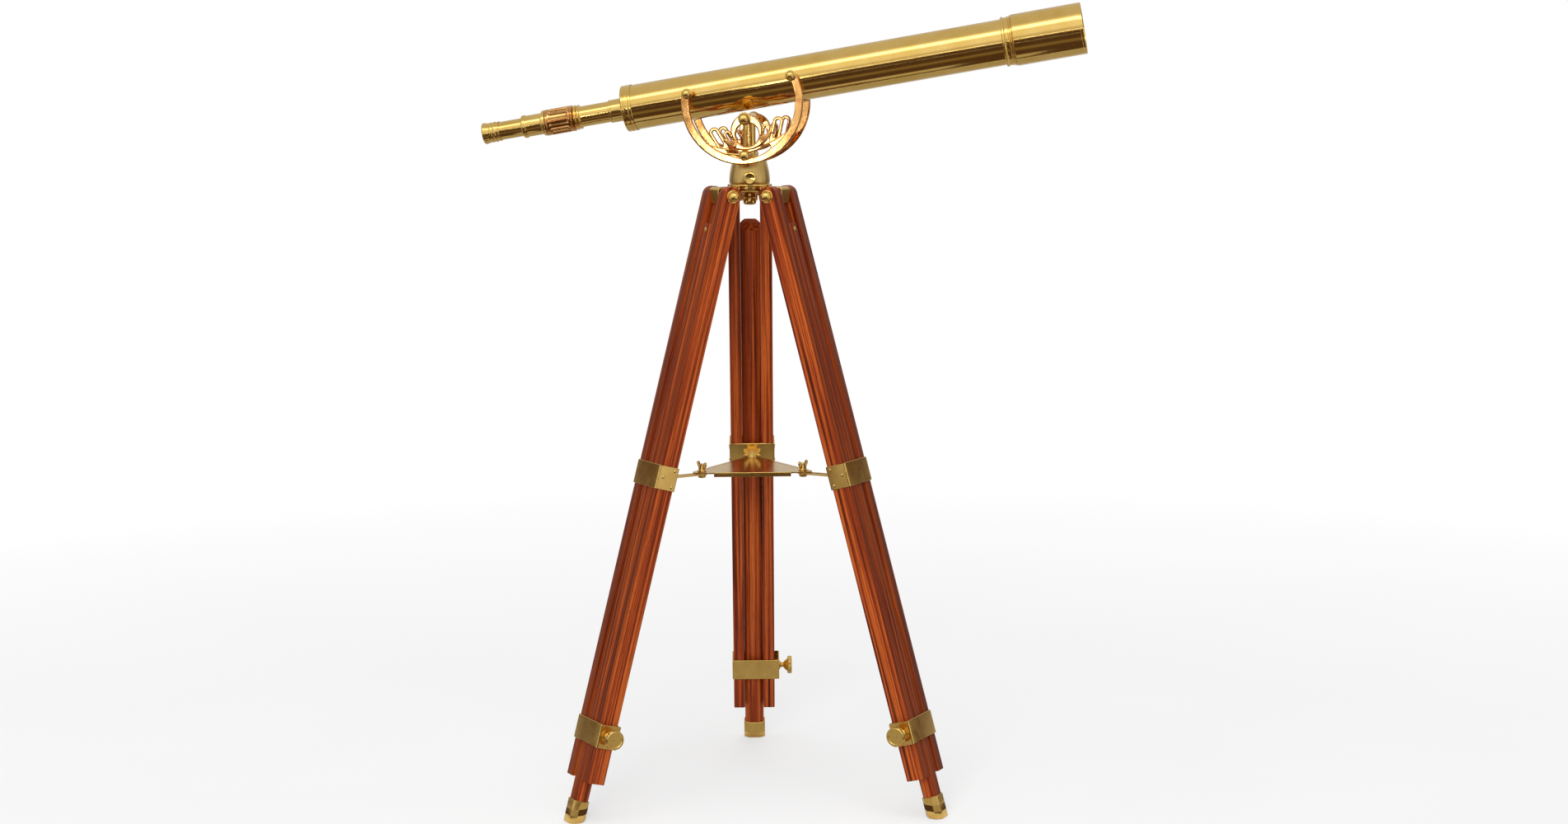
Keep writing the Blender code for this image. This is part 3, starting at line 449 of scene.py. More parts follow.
def objective_end():
    end, seam, mouth = TUBE_END / MM, SHADE_START / MM, SHADE_END / MM
    shade = [(seam, 30.6), (mouth - 0.4, 30.6), (mouth, 31), (mouth, 32.2), (mouth - 0.6, 32.6),
             (mouth - 3, 32.6), (mouth - 3.4, 32.4), (mouth - 3.8, 32.6), (seam + 0.8, 32.6),
             (seam, 31.9)]
    on_tube("dew_shield", shade, 128, 0.35, "cradle")
    start, shoulder = seam - 13.6, seam - 0.3
    cell = [(start, 29.3), (end + 0.3, 29.3), (end + 0.3, 24), (end + 3, 24), (end + 3, 27),
            (end + 20, 27), (end + 20, 30.3), (shoulder, 30.3), (shoulder, 31.7),
            (shoulder - 0.4, 32), (shoulder - 1.3, 32), (shoulder - 1.7, 31.6),
            (shoulder - 2, 30.5)]
    cell += [(shoulder - 2.6, 30.3)] + bead(shoulder - 3.9, 30.3, 1.1) + [(shoulder - 5.2, 30.3)]
    cell += [(shoulder - 5.8, 30.5), (shoulder - 8.2, 30.5), (shoulder - 8.7, 30),
             (shoulder - 9.2, 30.4)]
    cell += [(start + 2.1 + 2 * cos(radians(a)), 29.7 + 2 * sin(radians(a)))
             for a in range(24, 181, 13)]
    on_tube("objective_cell", cell, 128, 0.2, "cradle")

    def cap(centre, sag, rim, sign, steps=8):
        """Spherical lens face from the axis to the rim."""
        return [(centre + sign * sag * (1 - (i / steps) ** 2), rim * i / steps)
                for i in range(steps + 1)]

    rim = 26.7
    crown = cap(end + 10.8, 3.6, rim, -1) + cap(end + 11.8, 3.6, rim, 1)[::-1]
    flint = [(end + 3.5, 0), (end + 3.4, rim)] + cap(end + 10, 3.3, rim, -1)[::-1]
    on_tube("crown_lens", crown, 96, 0.1, "cradle", GLASS)
    on_tube("flint_lens", flint, 96, 0.1, "cradle", GLASS)


def body_tube():
    start, end = TUBE_START / MM, TUBE_END / MM
    tube = [(start, 27.4), (end, 27.4), (end, 29), (start, 29)]
    on_tube("main_tube", tube, 128, 0.2, "cradle")
    cap = [(-145, 29.3), (start - 0.3, 29.3), (start - 0.3, 13.7), (-178.7, 13.7), (-178.7, 14.5)]
    cap += [(-178.3, 14.8), (-176.6, 14.9), (-176.1, 14.4), (-175.3, 14.4), (-174.8, 14.8),
            (-162, 14.8), (-160.4, 15.6), (-159, 17), (-158.5, 19), (-158.1, 27.6), (-158.5, 29),
            (-157.4, 30), (-155.8, 29.9), (-155, 29.5), (-154.2, 29.9)]
    cap += [(-150, 29.95), (-149.4, 29.5), (-148.6, 29.5), (-148, 30), (-145.5, 30), (-145, 29.6)]
    on_tube("tube_end_cap", cap, 128, 0.4, "cradle")


def fluted_sleeve():
    """Zoom ring with long sunk panels between slim ribs and a plain bead at each end."""
    flutes, per_flute = 20, 12
    low, high = -264, -227
    profile = [(low, 13.7), (high, 13.7), (high, 15.6), (high - 0.5, 16.6), (high - 1.4, 17),
               (high - 2.4, 16.6), (high - 2.9, 16), (high - 3.4, 16.6)]
    stations = [high - 3.9 - (high - low - 7.8) * i / 24 for i in range(25)]
    profile += [(x, 16.7) for x in stations]
    profile += [(low + 3.4, 16.6), (low + 2.9, 16), (low + 2.4, 16.6), (low + 1.4, 17),
                (low + 0.5, 16.6), (low, 15.6)]
    bm = turned([(x * MM, r * MM) for x, r in profile], flutes * per_flute)
    middle, reach = (low + high) / 2 * MM, (high - low) / 2 * MM - 5.2 * MM
    for vert in bm.verts:
        radius = hypot(vert.co.y, vert.co.z)
        if abs(radius - 16.7 * MM) > 0.02 * MM:
            continue
        share = (atan2(vert.co.z, vert.co.y) / (2 * pi) * flutes) % 1
        across = min(share, 1 - share) * 2
        side = min(1, max(0, (across - 0.22) / 0.22))
        along = min(1, max(0, (reach - abs(vert.co.x - middle)) / (1.6 * MM)))
        sunk = 1.05 * MM * min(side, along) ** 0.8
        vert.co.y *= (radius - sunk) / radius
        vert.co.z *= (radius - sunk) / radius
    piece("fluted_sleeve", bm, TUBE, "zoom_ring", COPPER)


def eyepiece_end():
    draw = [(-262, 12.1), (-95, 12.1), (-95, 13.4), (-216.8, 13.4), (-217.2, 13.9)]
    draw += bead(-219.4, 14, 1.8) + [(-221.6, 13.9)] + bead(-223.8, 14.2, 2)
    draw += [(-226, 13.9), (-226.4, 13.4), (-262, 13.4)]
    on_tube("draw_tube", draw, 96, 0.3, "draw")
    fluted_sleeve()
    holder = [(-296.8, 12.1), (-274, 12.1), (-274, 10.3), (-240, 10.3), (-240, 11.8),
              (-262.3, 11.8), (-262.3, 12.9), (-264.3, 12.9), (-264.3, 16.2)]
    holder += [(-264.8, 16.8), (-266.2, 16.8), (-266.8, 16.1), (-267.4, 16.4), (-268.6, 16.3),
               (-269.2, 15), (-270, 14.1), (-272, 13.9), (-290.4, 13.8), (-291.2, 14.3),
               (-292.2, 14.8), (-294, 15), (-295.6, 14.7), (-296.4, 14.1), (-296.8, 13.4)]
    on_tube("eyepiece_holder", holder, 96, 0.35, "draw")
    tube = [(-332, 10.4), (-279, 10.4), (-279, 11.8), (-332, 11.8)]
    on_tube("eyepiece_tube", tube, 96, 0.2, "eyepiece")
    cup = [(-339.5, 12.1), (-327.5, 12.1), (-327.5, 12.5)]
    cup += [
        (-328.1, 12.9), (-329, 12.9), (-329.6, 12.5), (-332, 12.5), (-332.6, 13), (-333.8, 13.5),
        (-335, 13), (-335.6, 12.6), (-337, 12.5), (-337.6, 13), (-338.8, 13.3), (-339.8, 12.9),
        (-341, 12.7), (-343.6, 12.9), (-345.6, 13.3), (-347, 13.8), (-349, 13.9), (-350.2, 13.4),
        (-350.4, 12.4), (-349.6, 9.8), (-347.4, 7.2), (-344.5, 5.5), (-339.5, 5.5)]
    on_tube("eyecup", cup, 96, 0.5, "eyepiece")
    for name, middle, rim, bulge, body in (
            ("eye_lens", -335.4, 10.8, 2.2, "eyepiece"), ("field_lens", -290, 10.1, 2, "eyepiece"),
            ("erector_lens", -130, 11.8, 2, "draw")):
        face = [(middle + 1.1 + bulge * (1 - (i / 8) ** 2), rim * i / 8) for i in range(9)]
        back = [(2 * middle - x, r) for x, r in reversed(face)]
        on_tube(name, face + back, 64, 0.1, body, GLASS)


# ---- anchor cradle

def rounding(depth, top, radius):
    """Height of a moulded feature `depth` inside its outline, with a rounded edge."""
    inside = np.clip(depth, 0, radius) / radius
    height = top - radius * (1 - np.sqrt(np.clip(1 - (1 - inside) ** 2, 0, 1)))
    return np.where(depth > 0, height, -99)


def plate_fields(x, z):
    """Depth inside the plate's outline and its face height over the middle, in millimetres."""
    x = np.abs(x)

    def ring(cx, cz, radius):
        return np.hypot(x - cx, z - cz) - radius

    def capsule(a, b, radius):
        a, b = np.array(a), np.array(b)
        along = ((x - a[0]) * (b - a)[0] + (z - a[1]) * (b - a)[1]) / ((b - a) @ (b - a))
        along = np.clip(along, 0, 1)
        return radius - np.hypot(x - a[0] - along * (b - a)[0], z - a[1] - along * (b - a)[1])

    outer, inner = -ring(0, 21, 79), ring(0, 21, 68.5)
    tip = 45.5 - z
    bow = np.minimum(np.minimum(outer, inner), tip)
    crescent = np.minimum(np.minimum(outer, ring(0, 63.7, 101.7)), -6 - z)
    fall = np.degrees(np.arctan2(x, -(z + 2)))
    bowl = np.minimum(4.5 - np.abs(np.hypot(x, z + 2) - 33.5), (58 - fall) * 0.58)
    crest = 4.6 - 2.6 * np.clip((fall - 26) / 26, 0, 1) ** 2
    collar = -ring(0, -14.5, 20.5)
    big = capsule((42, -10.8), (33, -33), 6.9)
    small = capsule((25.5, -16), (22, -25), 5.4)
    big_slot = capsule((42, -10.8), (35.25, -27.45), 2.4)
    small_slot = capsule((25.5, -16), (22.9, -22.75), 1.7)
    pad = -ring(68, 44, 5.6)
    drill = -ring(68, 44, 2.3)
    window = (1 - np.sqrt((x / 14.8) ** 2 + ((z + 20.4) / 14.9) ** 2)) * 14
    swing, slot_end, slot_track = np.degrees(np.arctan2(x, -z)), 30, 46.4
    end_x, end_z = slot_track * sin(radians(slot_end)), slot_track * cos(radians(slot_end))
    lock = 3.6 - np.where(swing < slot_end, np.abs(np.hypot(x, z) - slot_track),
                          np.hypot(x - end_x, z + end_z))
    bore = -ring(0, 0, 3.3)
    solid = np.maximum.reduce([bow, crescent, bowl, collar, big, small, pad])
    holes = np.maximum.reduce([big_slot, small_slot, drill, window, lock, bore])
    mouldings = ((bow, 2, 1.1), (crescent, 1.7, 1), (bowl, crest, 1.6), (collar, 3, 1.4),
                 (big, 1.4, 1), (small, 1.5, 1), (pad, 1.2, 0.8))
    face = np.maximum.reduce([rounding(np.minimum(shape, -holes), top, radius)
                              for shape, top, radius in mouldings])
    return np.minimum(solid, -holes), face


def contoured(pitch=0.6):
    """Cells of the plate cut along its outline: 2D points, polygons and their face heights."""
    xs = np.arange(-81, 81 + pitch, pitch)
    zs = np.arange(-60, 52, pitch)
    grid_x, grid_z = np.meshgrid(xs, zs)
    depth, _ = plate_fields(grid_x, grid_z)
    points, index, cells = [], {}, []

    def corner(i, j):
        key = (i, j)
        if key not in index:
            index[key] = len(points)
            points.append((xs[j], zs[i]))
        return index[key]

    def crossing(a, b):
        key = (min(a, b), max(a, b))
        if key not in index:
            (i, j), (k, m) = key
            share = depth[i, j] / (depth[i, j] - depth[k, m])
            share = min(0.98, max(0.02, share))
            index[key] = len(points)
            points.append((xs[j] + (xs[m] - xs[j]) * share, zs[i] + (zs[k] - zs[i]) * share))
        return index[key]

    for i in range(len(zs) - 1):
        for j in range(len(xs) - 1):
            corners = [(i, j), (i, j + 1), (i + 1, j + 1), (i + 1, j)]
            inside = [depth[c] > 0 for c in corners]
            if not any(inside):
                continue
            loop = []
            for k in range(4):
                here, there = corners[k], corners[(k + 1) % 4]
                if inside[k]:
                    loop.append(corner(*here))
                if inside[k] != inside[(k + 1) % 4]:
                    loop.append(crossing(here, there))
            if len(loop) > 2:
                cells.append(loop)
    return np.array(points), cells


PLATE_POINTS, PLATE_CELLS = contoured()


def cradle_plate(word, side):
    """Moulded plate: bow, crescent, raised bowl, pierced ring and looped scrolls."""
    depth, face = plate_fields(PLATE_POINTS[:, 0], PLATE_POINTS[:, 1])
    face = np.maximum(face, 0.35)
    back = -np.minimum(1.9, 1.2 + 0.7 * np.sqrt(np.clip(depth, 0, 0.9) / 0.9))
    bm = bmesh.new()
    outer, inner = [], []
    for (x, z), high, low in zip(PLATE_POINTS, face, back):
        outer.append(bm.verts.new((x * MM, side * (PLATE_MID + high * MM), z * MM)))
        inner.append(bm.verts.new((x * MM, side * (PLATE_MID + low * MM), z * MM)))
    count = {}
    for cell in PLATE_CELLS:
        bm.faces.new([outer[k] for k in cell])
        bm.faces.new([inner[k] for k in reversed(cell)])
        for a, b in zip(cell, cell[1:] + cell[:1]):
            count[(a, b)] = count.get((a, b), 0) + 1
    for a, b in count:
        if (b, a) not in count:
            bm.faces.new((outer[b], outer[a], inner[a], inner[b]))
    loose = [v for v in bm.verts if not v.link_faces]
    bmesh.ops.delete(bm, geom=loose, context="VERTS")
    piece("cradle_plate_" + word, bm, CRADLE, "cradle", COPPER, sharp=50)
    for end, x in (("eye_end", -SCREW_X), ("lens_end", SCREW_X)):
        pad = lathe([(29.3, 2.4), (29.3, 4.6), (30.4, 5.5), (36, 5.6), (36.2, 2.4)], 40, "Y", 0.3)
        place = CRADLE @ at(x, 0, SCREW_Z) @ flip(side)
        piece("cradle_pad_%s_%s" % (word, end), pad, place, "cradle", COPPER, extra=True)
        screw = ball_bolt(SEAT, 26, 5.8, 2)
        piece("cradle_screw_%s_%s" % (word, end), screw, place, "cradle", SCREW_BRASS)


def ball_bolt(seat, tip, radius, shank, collar=1.22):
    """Ball-headed bolt along +Y in millimetres: shank from the tip, collar on the seat, ball."""
    wide = radius * collar
    outline = [(tip, 0), (tip, shank), (seat, shank), (seat, wide - 0.4), (seat + 0.3, wide),
               (seat + 0.9, wide), (seat + 1.3, wide - 0.5), (seat + 1.5, radius * 0.66),
               (seat + 1.9, radius * 0.60)]
    middle = seat + 1.6 + radius * 0.78
    outline += ball(middle, radius, -radius * 0.74, radius)
    return lathe(outline, 48, "Y", 0.15)


def lock_hub():
    """Ball hub on the lock bolt, with a slim tapered arm ending in a small ball."""
    seat = -SEAT
    hub = [(-43.6, 0), (-43.6, 3.3), (seat, 3.3), (seat, 5.6), (seat - 0.4, 5.8),
           (seat - 1.2, 5.8), (seat - 1.6, 4.9)]
    hub += [(-y, r) for y, r in ball(-seat + 5.8, 6.9, -4.6, 6.9)]
    arm = [(-23, 0), (-23, 0.9), (-22.6, 1.35), (-18, 1.3), (-8, 1.7), (-5.2, 2.3), (-5.2, 0)]
    knob = [(0, 0), (0, 1.2), (2.6, 1.1)] + ball(5.4, 2.9, -2.6, 2.9, 12)
    level = at(0, (seat - 6.4) * MM, 0)
    return join(
        lathe(hub, 48, "Y", 0.15), (lathe(arm, 24, "X", 0.2), level @ turn(radians(6), "Y")),
        (lathe(knob, 32, "Z", 0.05), level @ at(-21.5 * MM, 0, 2.3 * MM)))


def cradle():
    for word, side in (("front", -1), ("rear", 1)):
        cradle_plate(word, side)
    hang = AZIMUTH @ at(0, 0, PIVOT_HEIGHT)
    lock = AZIMUTH @ at(0, 0, LOCK_HEIGHT)
    piece("pivot_bolt", ball_bolt(SEAT + 1, -43, 6.9, 3), hang @ flip(-1), "azimuth", SCREW_BRASS)
    nut = [(43.5, 0), (43.5, 3.3), (38.3, 3.3), (38.3, 8), (38.6, 8.4), (39.2, 8.4), (39.6, 7.9),
           (39.8, 5.2)] + ball(43.9, 6.9, -4.4, 6.9)
    piece("pivot_nut", lathe(nut, 48, "Y", 0.15), hang, "azimuth", SCREW_BRASS)
    bolt = [(-43, 0), (-43, 3), (SEAT, 3), (SEAT, 5.9), (40.4, 5.9), (41.6, 5.2), (41.9, 4),
            (41.9, 0)]
    piece("lock_bolt", lathe(bolt, 48, "Y", 0.5), lock, "azimuth", SCREW_BRASS)
    piece("lock_lever", lock_hub(), lock, "altitude_lock", SCREW_BRASS)

    rise = (PIVOT_HEIGHT - PILLAR_TOP) / MM
    post = [(-5.5, 0), (-5.5, 4.7), (0.3, 4.7), (0.3, 14.6), (0.8, 15), (2, 15), (3, 14),
            (3.6, 11.4), (5, 9.2), (7, 8.3), (9, 8.2), (rise - 9, 8.2), (rise + 1.5, 8.2),
            (rise + 2.6, 7.4), (rise + 3, 6.2), (rise + 3, 0)]
    top = AZIMUTH @ at(0, 0, PILLAR_TOP)
    piece("saddle_post", lathe(post, 64, "Z", 0.4), top, "azimuth", POST_BRASS)
    half = 32.1
    for word, place, radius in (("upper", hang, 7.4), ("lower", lock, 6.6)):
        bar = [(-half, 3.4), (-half, radius - 0.5), (1.2 - half, radius), (5 - half, radius),
               (5.6 - half, radius - 0.6), (half - 5.6, radius - 0.6), (half - 5, radius),
               (half - 1.2, radius), (half, radius - 0.5), (half, 3.4)]
        bar = lathe(bar, 48, "Y", 0.3)
        piece("saddle_bar_" + word, bar, place, "azimuth", SCREW_BRASS, extra=True)


# ---- pillar and head

def pillar():
    base, roof, top = 808.3, 826.6, PILLAR_TOP / MM
    bell = [(base, 12.3), (roof, 12.3), (roof, 6.3), (top - 6, 6.3), (top - 6, 5), (top, 5),
            (top, 21.2), (top - 0.9, 22.2)]
    for i in range(1, 17):
        t = i / 16
        bell.append((top - 0.9 - t * 27, 22.2 + 4.5 * sin(t * pi / 2) - 0.4 * t * t))
    bell += [(base + 1.4, 26.2), (base + 0.9, 25.8), (base, 25.8)]
    piece("bell_pillar", lathe(bell, 128, "Z", 0.5), AZIMUTH, "azimuth", SATIN_BRASS)
    front = AZIMUTH @ at(0, 0, AZIMUTH_LOCK_HEIGHT) @ turn(-pi / 2 - AIM_YAW, "Z")
    screw = [(12.4, 0), (12.4, 3), (25.4, 3), (25.4, 4.4), (27, 5.2), (27.6, 7.4), (28.2, 8),
             (29, 8.4), (32.2, 8.4), (33.2, 7.8), (33.9, 6.6), (33.6, 5.2), (32.9, 0.9), (33.2, 0)]
    knurled = lathe(screw, 72, "X", 0.2)
    knurl(knurled, "X", 8.4 * MM, 0.22 * MM)
    piece("azimuth_lock_screw", knurled, front, "azimuth_lock", SCREW_BRASS)
    spindle = [(781, 0), (781, 5.6), (781.6, 7.4), (783.2, 8.4), (788.6, 8.4), (789.2, 7.8),
               (790, 7.8), (790.6, 8.4), (795.4, 8.4), (795.4, 6), (831, 6), (831, 0)]
    piece("azimuth_spindle", lathe(spindle, 48, "Z", 0.6), AZIMUTH, "azimuth", POST_BRASS)


def knurl(bm, axis, radius, depth):
    """Sinks every other line of a turned rim to make a straight knurl."""
    a, b = [k for k in range(3) if k != "XYZ".index(axis)]
    spokes = {}
    for vert in bm.verts:
        if hypot(vert.co[a], vert.co[b]) > radius - 0.02 * MM:
            spokes.setdefault(round(degrees(atan2(vert.co[b], vert.co[a])), 1), []).append(vert)
    for step, angle in enumerate(sorted(spokes)):
        for vert in spokes[angle]:
            if step % 2:
                vert.co[a] *= 1 - depth / radius
                vert.co[b] *= 1 - depth / radius


def head():
    top = HEAD_TOP / MM
    dish = [(796, 6.3), (825.8, 6.3), (825.8, 12), (top, 12), (top, 26.2), (top - 0.8, 27),
            (top - 3, 27), (top - 3.6, 26.4)]
    dish += [(802 - 6 * sin(radians(a)), 14 + 12.6 * cos(radians(a))) for a in range(0, 91, 9)]
    piece("head_casting", lathe(dish, 96, "Z", 0.4), BASE, "root", POST_BRASS)
    reach, bottom = HINGE_RADIUS + 10.5 * MM, HINGE_HEIGHT - 9 * MM
    upper = HEAD_TOP - 3.2 * MM
    outline = [(20 * MM, bottom + 2 * MM), (32 * MM, bottom), (reach, bottom),
               (reach, upper - 4 * MM)]
    outline += [(reach - 1.2 * MM, upper - 1.2 * MM), (reach - 4 * MM, upper), (20 * MM, upper)]
    for name, azimuth, hand in LEGS:
        low, high = sorted((-hand * SLIDE_HALF, hand * (SLIDE_HALF - LUG_PLAY)))
        lug = slab(outline, [], low, high)
        piece("head_lug_" + name, lug, BASE @ turn(radians(azimuth), "Z"), "root", SHEET_BRASS,
              extra=True, bevel=1.1 * MM, segments=3)


# ---- legs

def rail_loops(side):
    """Cross sections of a side rail from its foot to its rounded top."""
    outer, inner = LEG_WIDTH / 2, LEG_WIDTH / 2 - RAIL_WIDTH - 0.2 * MM
    half, ease = LEG_DEPTH / 2, 1.1 * MM
    reed, width = 0.45 * MM, 0.8 * MM

    def section(z, squeeze, shrink, fade):
        points = [(-half + 0.5 * MM, inner), (half - 0.5 * MM, inner), (half, inner + 0.5 * MM)]
        points += arc(half - ease, outer - ease, ease, 0, 90, 3)
        for groove in (4.6 * MM, -4.6 * MM):
            points += [(groove + width, outer), (groove + 0.3 * MM, outer - reed * fade),
                       (groove - 0.3 * MM, outer - reed * fade), (groove - width, outer)]
        points += arc(-half + ease, outer - ease, ease, 90, 180, 3)
        points.append((-half, inner + 0.5 * MM))
        middle = (outer + inner) / 2
        return [(x * squeeze, side * (middle + (y - middle) * shrink), z) for x, y in points]

    loops = [section(-RAIL_END, 0.95, 0.93, 0.6), section(-RAIL_END + 0.7 * MM, 1, 1, 1)]
    loops += [section(-RAIL_END + (RAIL_END - 16 * MM) * i / 24, 1, 1, 1) for i in range(1, 25)]
    loops.append(section(-6 * MM, 1, 1, 0.4))
    crown = half - 0.4 * MM
    for i in range(14):
        rise = radians(6 * i)
        tight = 1 - 0.05 * max(0, i - 10)
        loops.append(section(crown * sin(rise), cos(rise), tight, 0))
    return loops


def level(x, lift):
    """Height along a leg of a level plane `lift` above the floor, at x across the leg."""
    floor_at = HINGE_HEIGHT / cos(LEG_SPREAD)
    return -floor_at - x * tan(LEG_SPREAD) + lift / cos(LEG_SPREAD)


def prism_loop(grow, height):
    """Chamfered section of the sliding rail, `grow` larger all round; height depends on x."""
    x0, x1 = SLIDE_OFFSET - SLIDE_DEPTH / 2 - grow, SLIDE_OFFSET + SLIDE_DEPTH / 2 + grow
    y1 = SLIDE_HALF + grow
    cut = SLIDE_CHAMFER + grow * (2 - sqrt(2))
    corners = [(x1, y1 - cut), (x1 - cut, y1), (x0 + cut, y1), (x0, y1 - cut)]
    outline = corners + [(x, -y) for x, y in reversed(corners)]
    return [(x, y, height(x)) for x, y in soft(outline, 0.9 * MM, 2)]


def slide_and_shoe(name, place):
    sole = 6 * MM
    body = "slide_" + name
    inside = [prism_loop(0, lambda x: level(x, sole + GAP))]
    steps = 20

    def crown(x):
        """Slanted upper end, lower towards the tripod's centre."""
        return -SLIDE_TOP - SLIDE_SLANT * (SLIDE_OFFSET + SLIDE_DEPTH / 2 - x)

    for i in range(1, steps + 1):
        share = i / steps
        inside.append(prism_loop(0, lambda x: level(x, sole + GAP) * (1 - share)
                                 + (crown(x) - 0.8 * MM) * share))
    inside.append(prism_loop(-0.8 * MM, crown))
    piece("leg_%s_slide" % name, stacked(inside), place, body, WOOD)
    top = level(SLIDE_OFFSET, sole) + SHOE_HEIGHT
    wall = GAP + SHOE_WALL
    shells = []
    for grow, lift in ((-5.5 * MM, 0), (wall - 1.6 * MM, 0), (wall - 0.5 * MM, 0.5 * MM),
                       (wall, 1.6 * MM), (wall, 9 * MM)):
        shells.append(prism_loop(grow, lambda x: level(x, lift)))
    for grow, drop in ((wall, 3 * MM), (wall, 0.4 * MM), (wall - 0.4 * MM, 0), (GAP, 0)):
        shells.append(prism_loop(grow, lambda x: top - drop))
    shells.append(prism_loop(GAP, lambda x: level(x, sole)))
    piece("leg_%s_shoe" % name, stacked(shells), place, body, SHEET_BRASS)
    pin = screw_head(3 * MM, 0.9 * MM, 0.5 * MM)
    spot = place @ at(SLIDE_OFFSET + SLIDE_DEPTH / 2, 0, -SLIDE_TOP - 9 * MM)
    piece("slide_screw_" + name, pin, spot, body, SCREW_BRASS, extra=True)


def hinge_bolt(name, place, hand):
    """Leg bolt: acorn nut on a collar at the near side, slotted round head at the far side."""
    half = LEG_WIDTH / 2 / MM
    shank = lathe([(-half, 0), (-half, 3), (half + 3, 3), (half + 3, 0)], 24, "Y")
    collar = past(half, [(0.3, 3.2), (0.3, 8.2), (0.6, 8.6), (1.3, 8.6), (1.6, 8.2), (1.6, 3.2)])
    nut = past(half, [(1.7, 3), (1.7, 7), (2.3, 7.7), (5, 7.7), (5.8, 7), (5.8, 3)])
    dome = [(half + 5, 0), (half + 5, 6.5)]
    dome += [(half + 5.4 + 4.9 * sin(radians(a)), 6.3 * cos(radians(a))) for a in range(0, 91, 9)]
    far = past(-half, [(0, 0), (0, 7), (-0.8, 7), (-2, 5.6), (-2.6, 3), (-2.7, 0)])
    whole = join(shank, lathe(collar, 48, "Y", 0.2), lathe(nut, 6, "Y", 0.05),
                 lathe(dome, 40, "Y", 0.1), lathe(far, 40, "Y", 0.6))
    piece("leg_%s_bolt" % name, whole, place @ flip(hand), "leg_" + name, SCREW_BRASS, sharp=25)


def band_loop(grow, z, hand, stand):
    """Rounded rectangle round both rails, `grow` outside the band's inner face."""
    x = LEG_DEPTH / 2 + GAP + grow
    near, far = LEG_WIDTH / 2 + GAP + stand + grow, LEG_WIDTH / 2 + GAP + grow
    outline = [(-x, -far), (x, -far), (x, near), (-x, near)]
    return [(px, hand * py, z) for px, py in soft(outline, 0.6 * MM + grow, 4)]


def band(name, word, span, place, hand):
    """Brass band with eased edges; screws on the middle one, a clamp boss on the lower one."""
    low, high = -span[1], -span[0]
    stand = BAND_STAND if word == "low" else 0
    wall, ease = BAND_WALL, 0.4 * MM
    bm = bmesh.new()
    path = [(0, low), (wall - ease, low), (wall, low + ease), (wall, high - ease),
            (wall - ease, high), (0, high)]
    rings = [[bm.verts.new(p) for p in band_loop(grow, z, hand, stand)] for grow, z in path]
    for ring, following in zip(rings, rings[1:] + rings[:1]):
        for i in range(len(ring)):
            bm.faces.new((ring[i - 1], ring[i], following[i], following[i - 1]))
    body = "leg_" + name
    piece("leg_%s_%s_band" % (name, word), bm, place, body, SHEET_BRASS)
    middle = (low + high) / 2
    side = LEG_WIDTH / 2 + GAP + BAND_WALL
    if word == "low":
        face = (side + stand) / MM
        boss = [(face - 0.1, 3.3), (face - 0.1, 6.6), (face + 0.6, 6.6), (face + BOSS_RISE, 5.6),
                (face + BOSS_RISE, 3.3)]
        spot = place @ at(0, 0, middle) @ flip(hand)
        piece("clamp_boss_" + name, lathe(boss, 40, "Y", 0.3), spot, body, SCREW_BRASS, extra=True)
        return
    heads = []
    for sign in (-1, 1):
        for x, z in ((-8.6, 10.6), (6.6, 0.5), (-8.6, -10.6)):
            spot = at(x * MM, sign * side, middle + z * MM) @ turn(sign * pi / 2, "Z")
            heads.append((screw_head(1.9 * MM, 0.8 * MM, 0.4 * MM), spot))
    piece("band_screws_" + name, join(*heads), place, body, SCREW_BRASS, extra=True)
    strap_bracket(name, place)


def pin_in_leg():
    """The strap pin's place in a leg's own frame, as (outward, up)."""
    out, rise = STRAP_PIN[0] - HINGE_RADIUS, STRAP_PIN[1] - HINGE_HEIGHT
    down, outward = cos(LEG_SPREAD), sin(LEG_SPREAD)
    return (out * down + rise * outward, rise * down - out * outward)


def strap_bracket(name, place):
    """Riveted base plate with two rounded ears and a headed pin for the strap."""
    x, z = pin_in_leg()
    face = -LEG_DEPTH / 2 - GAP - BAND_WALL
    parts = []
    for side in (-1, 1):
        near, far = sorted(side * (STRAP_WIDTH / 2 + play * MM) for play in (0.4, 2.6))
        ear = [(face + 0.1 * MM, z - 5 * MM), (face + 0.1 * MM, z + 5 * MM)]
        parts.append(slab(ear + arc(x, z, 3.7 * MM, 70, 290, 12), [], near, far))
    plate = []
    for across, up, start in ((-1, 1, 180), (1, 1, 90), (1, -1, 0), (-1, -1, -90)):
        plate += arc(across * 9.6 * MM, z + up * 5.4 * MM, 2 * MM, start, start - 90, 3)
    parts.append(slab(plate, [], face - 0.9 * MM, face + 0.1 * MM, "YZ"))
    body = "leg_" + name
    piece("strap_bracket_" + name, join(*parts), place, body, SHEET_BRASS, extra=True,
          bevel=0.3 * MM)
    pin = lathe([(-11.2, 0), (-11.2, 2), (-10, 2.7), (-9.6, 1.7), (9.6, 1.7), (10, 2.7), (11.2, 2),
                 (11.2, 0)], 24, "Y", 0.2)
    piece("strap_pin_" + name, pin, place @ at(x, 0, z), body, SCREW_BRASS, extra=True)


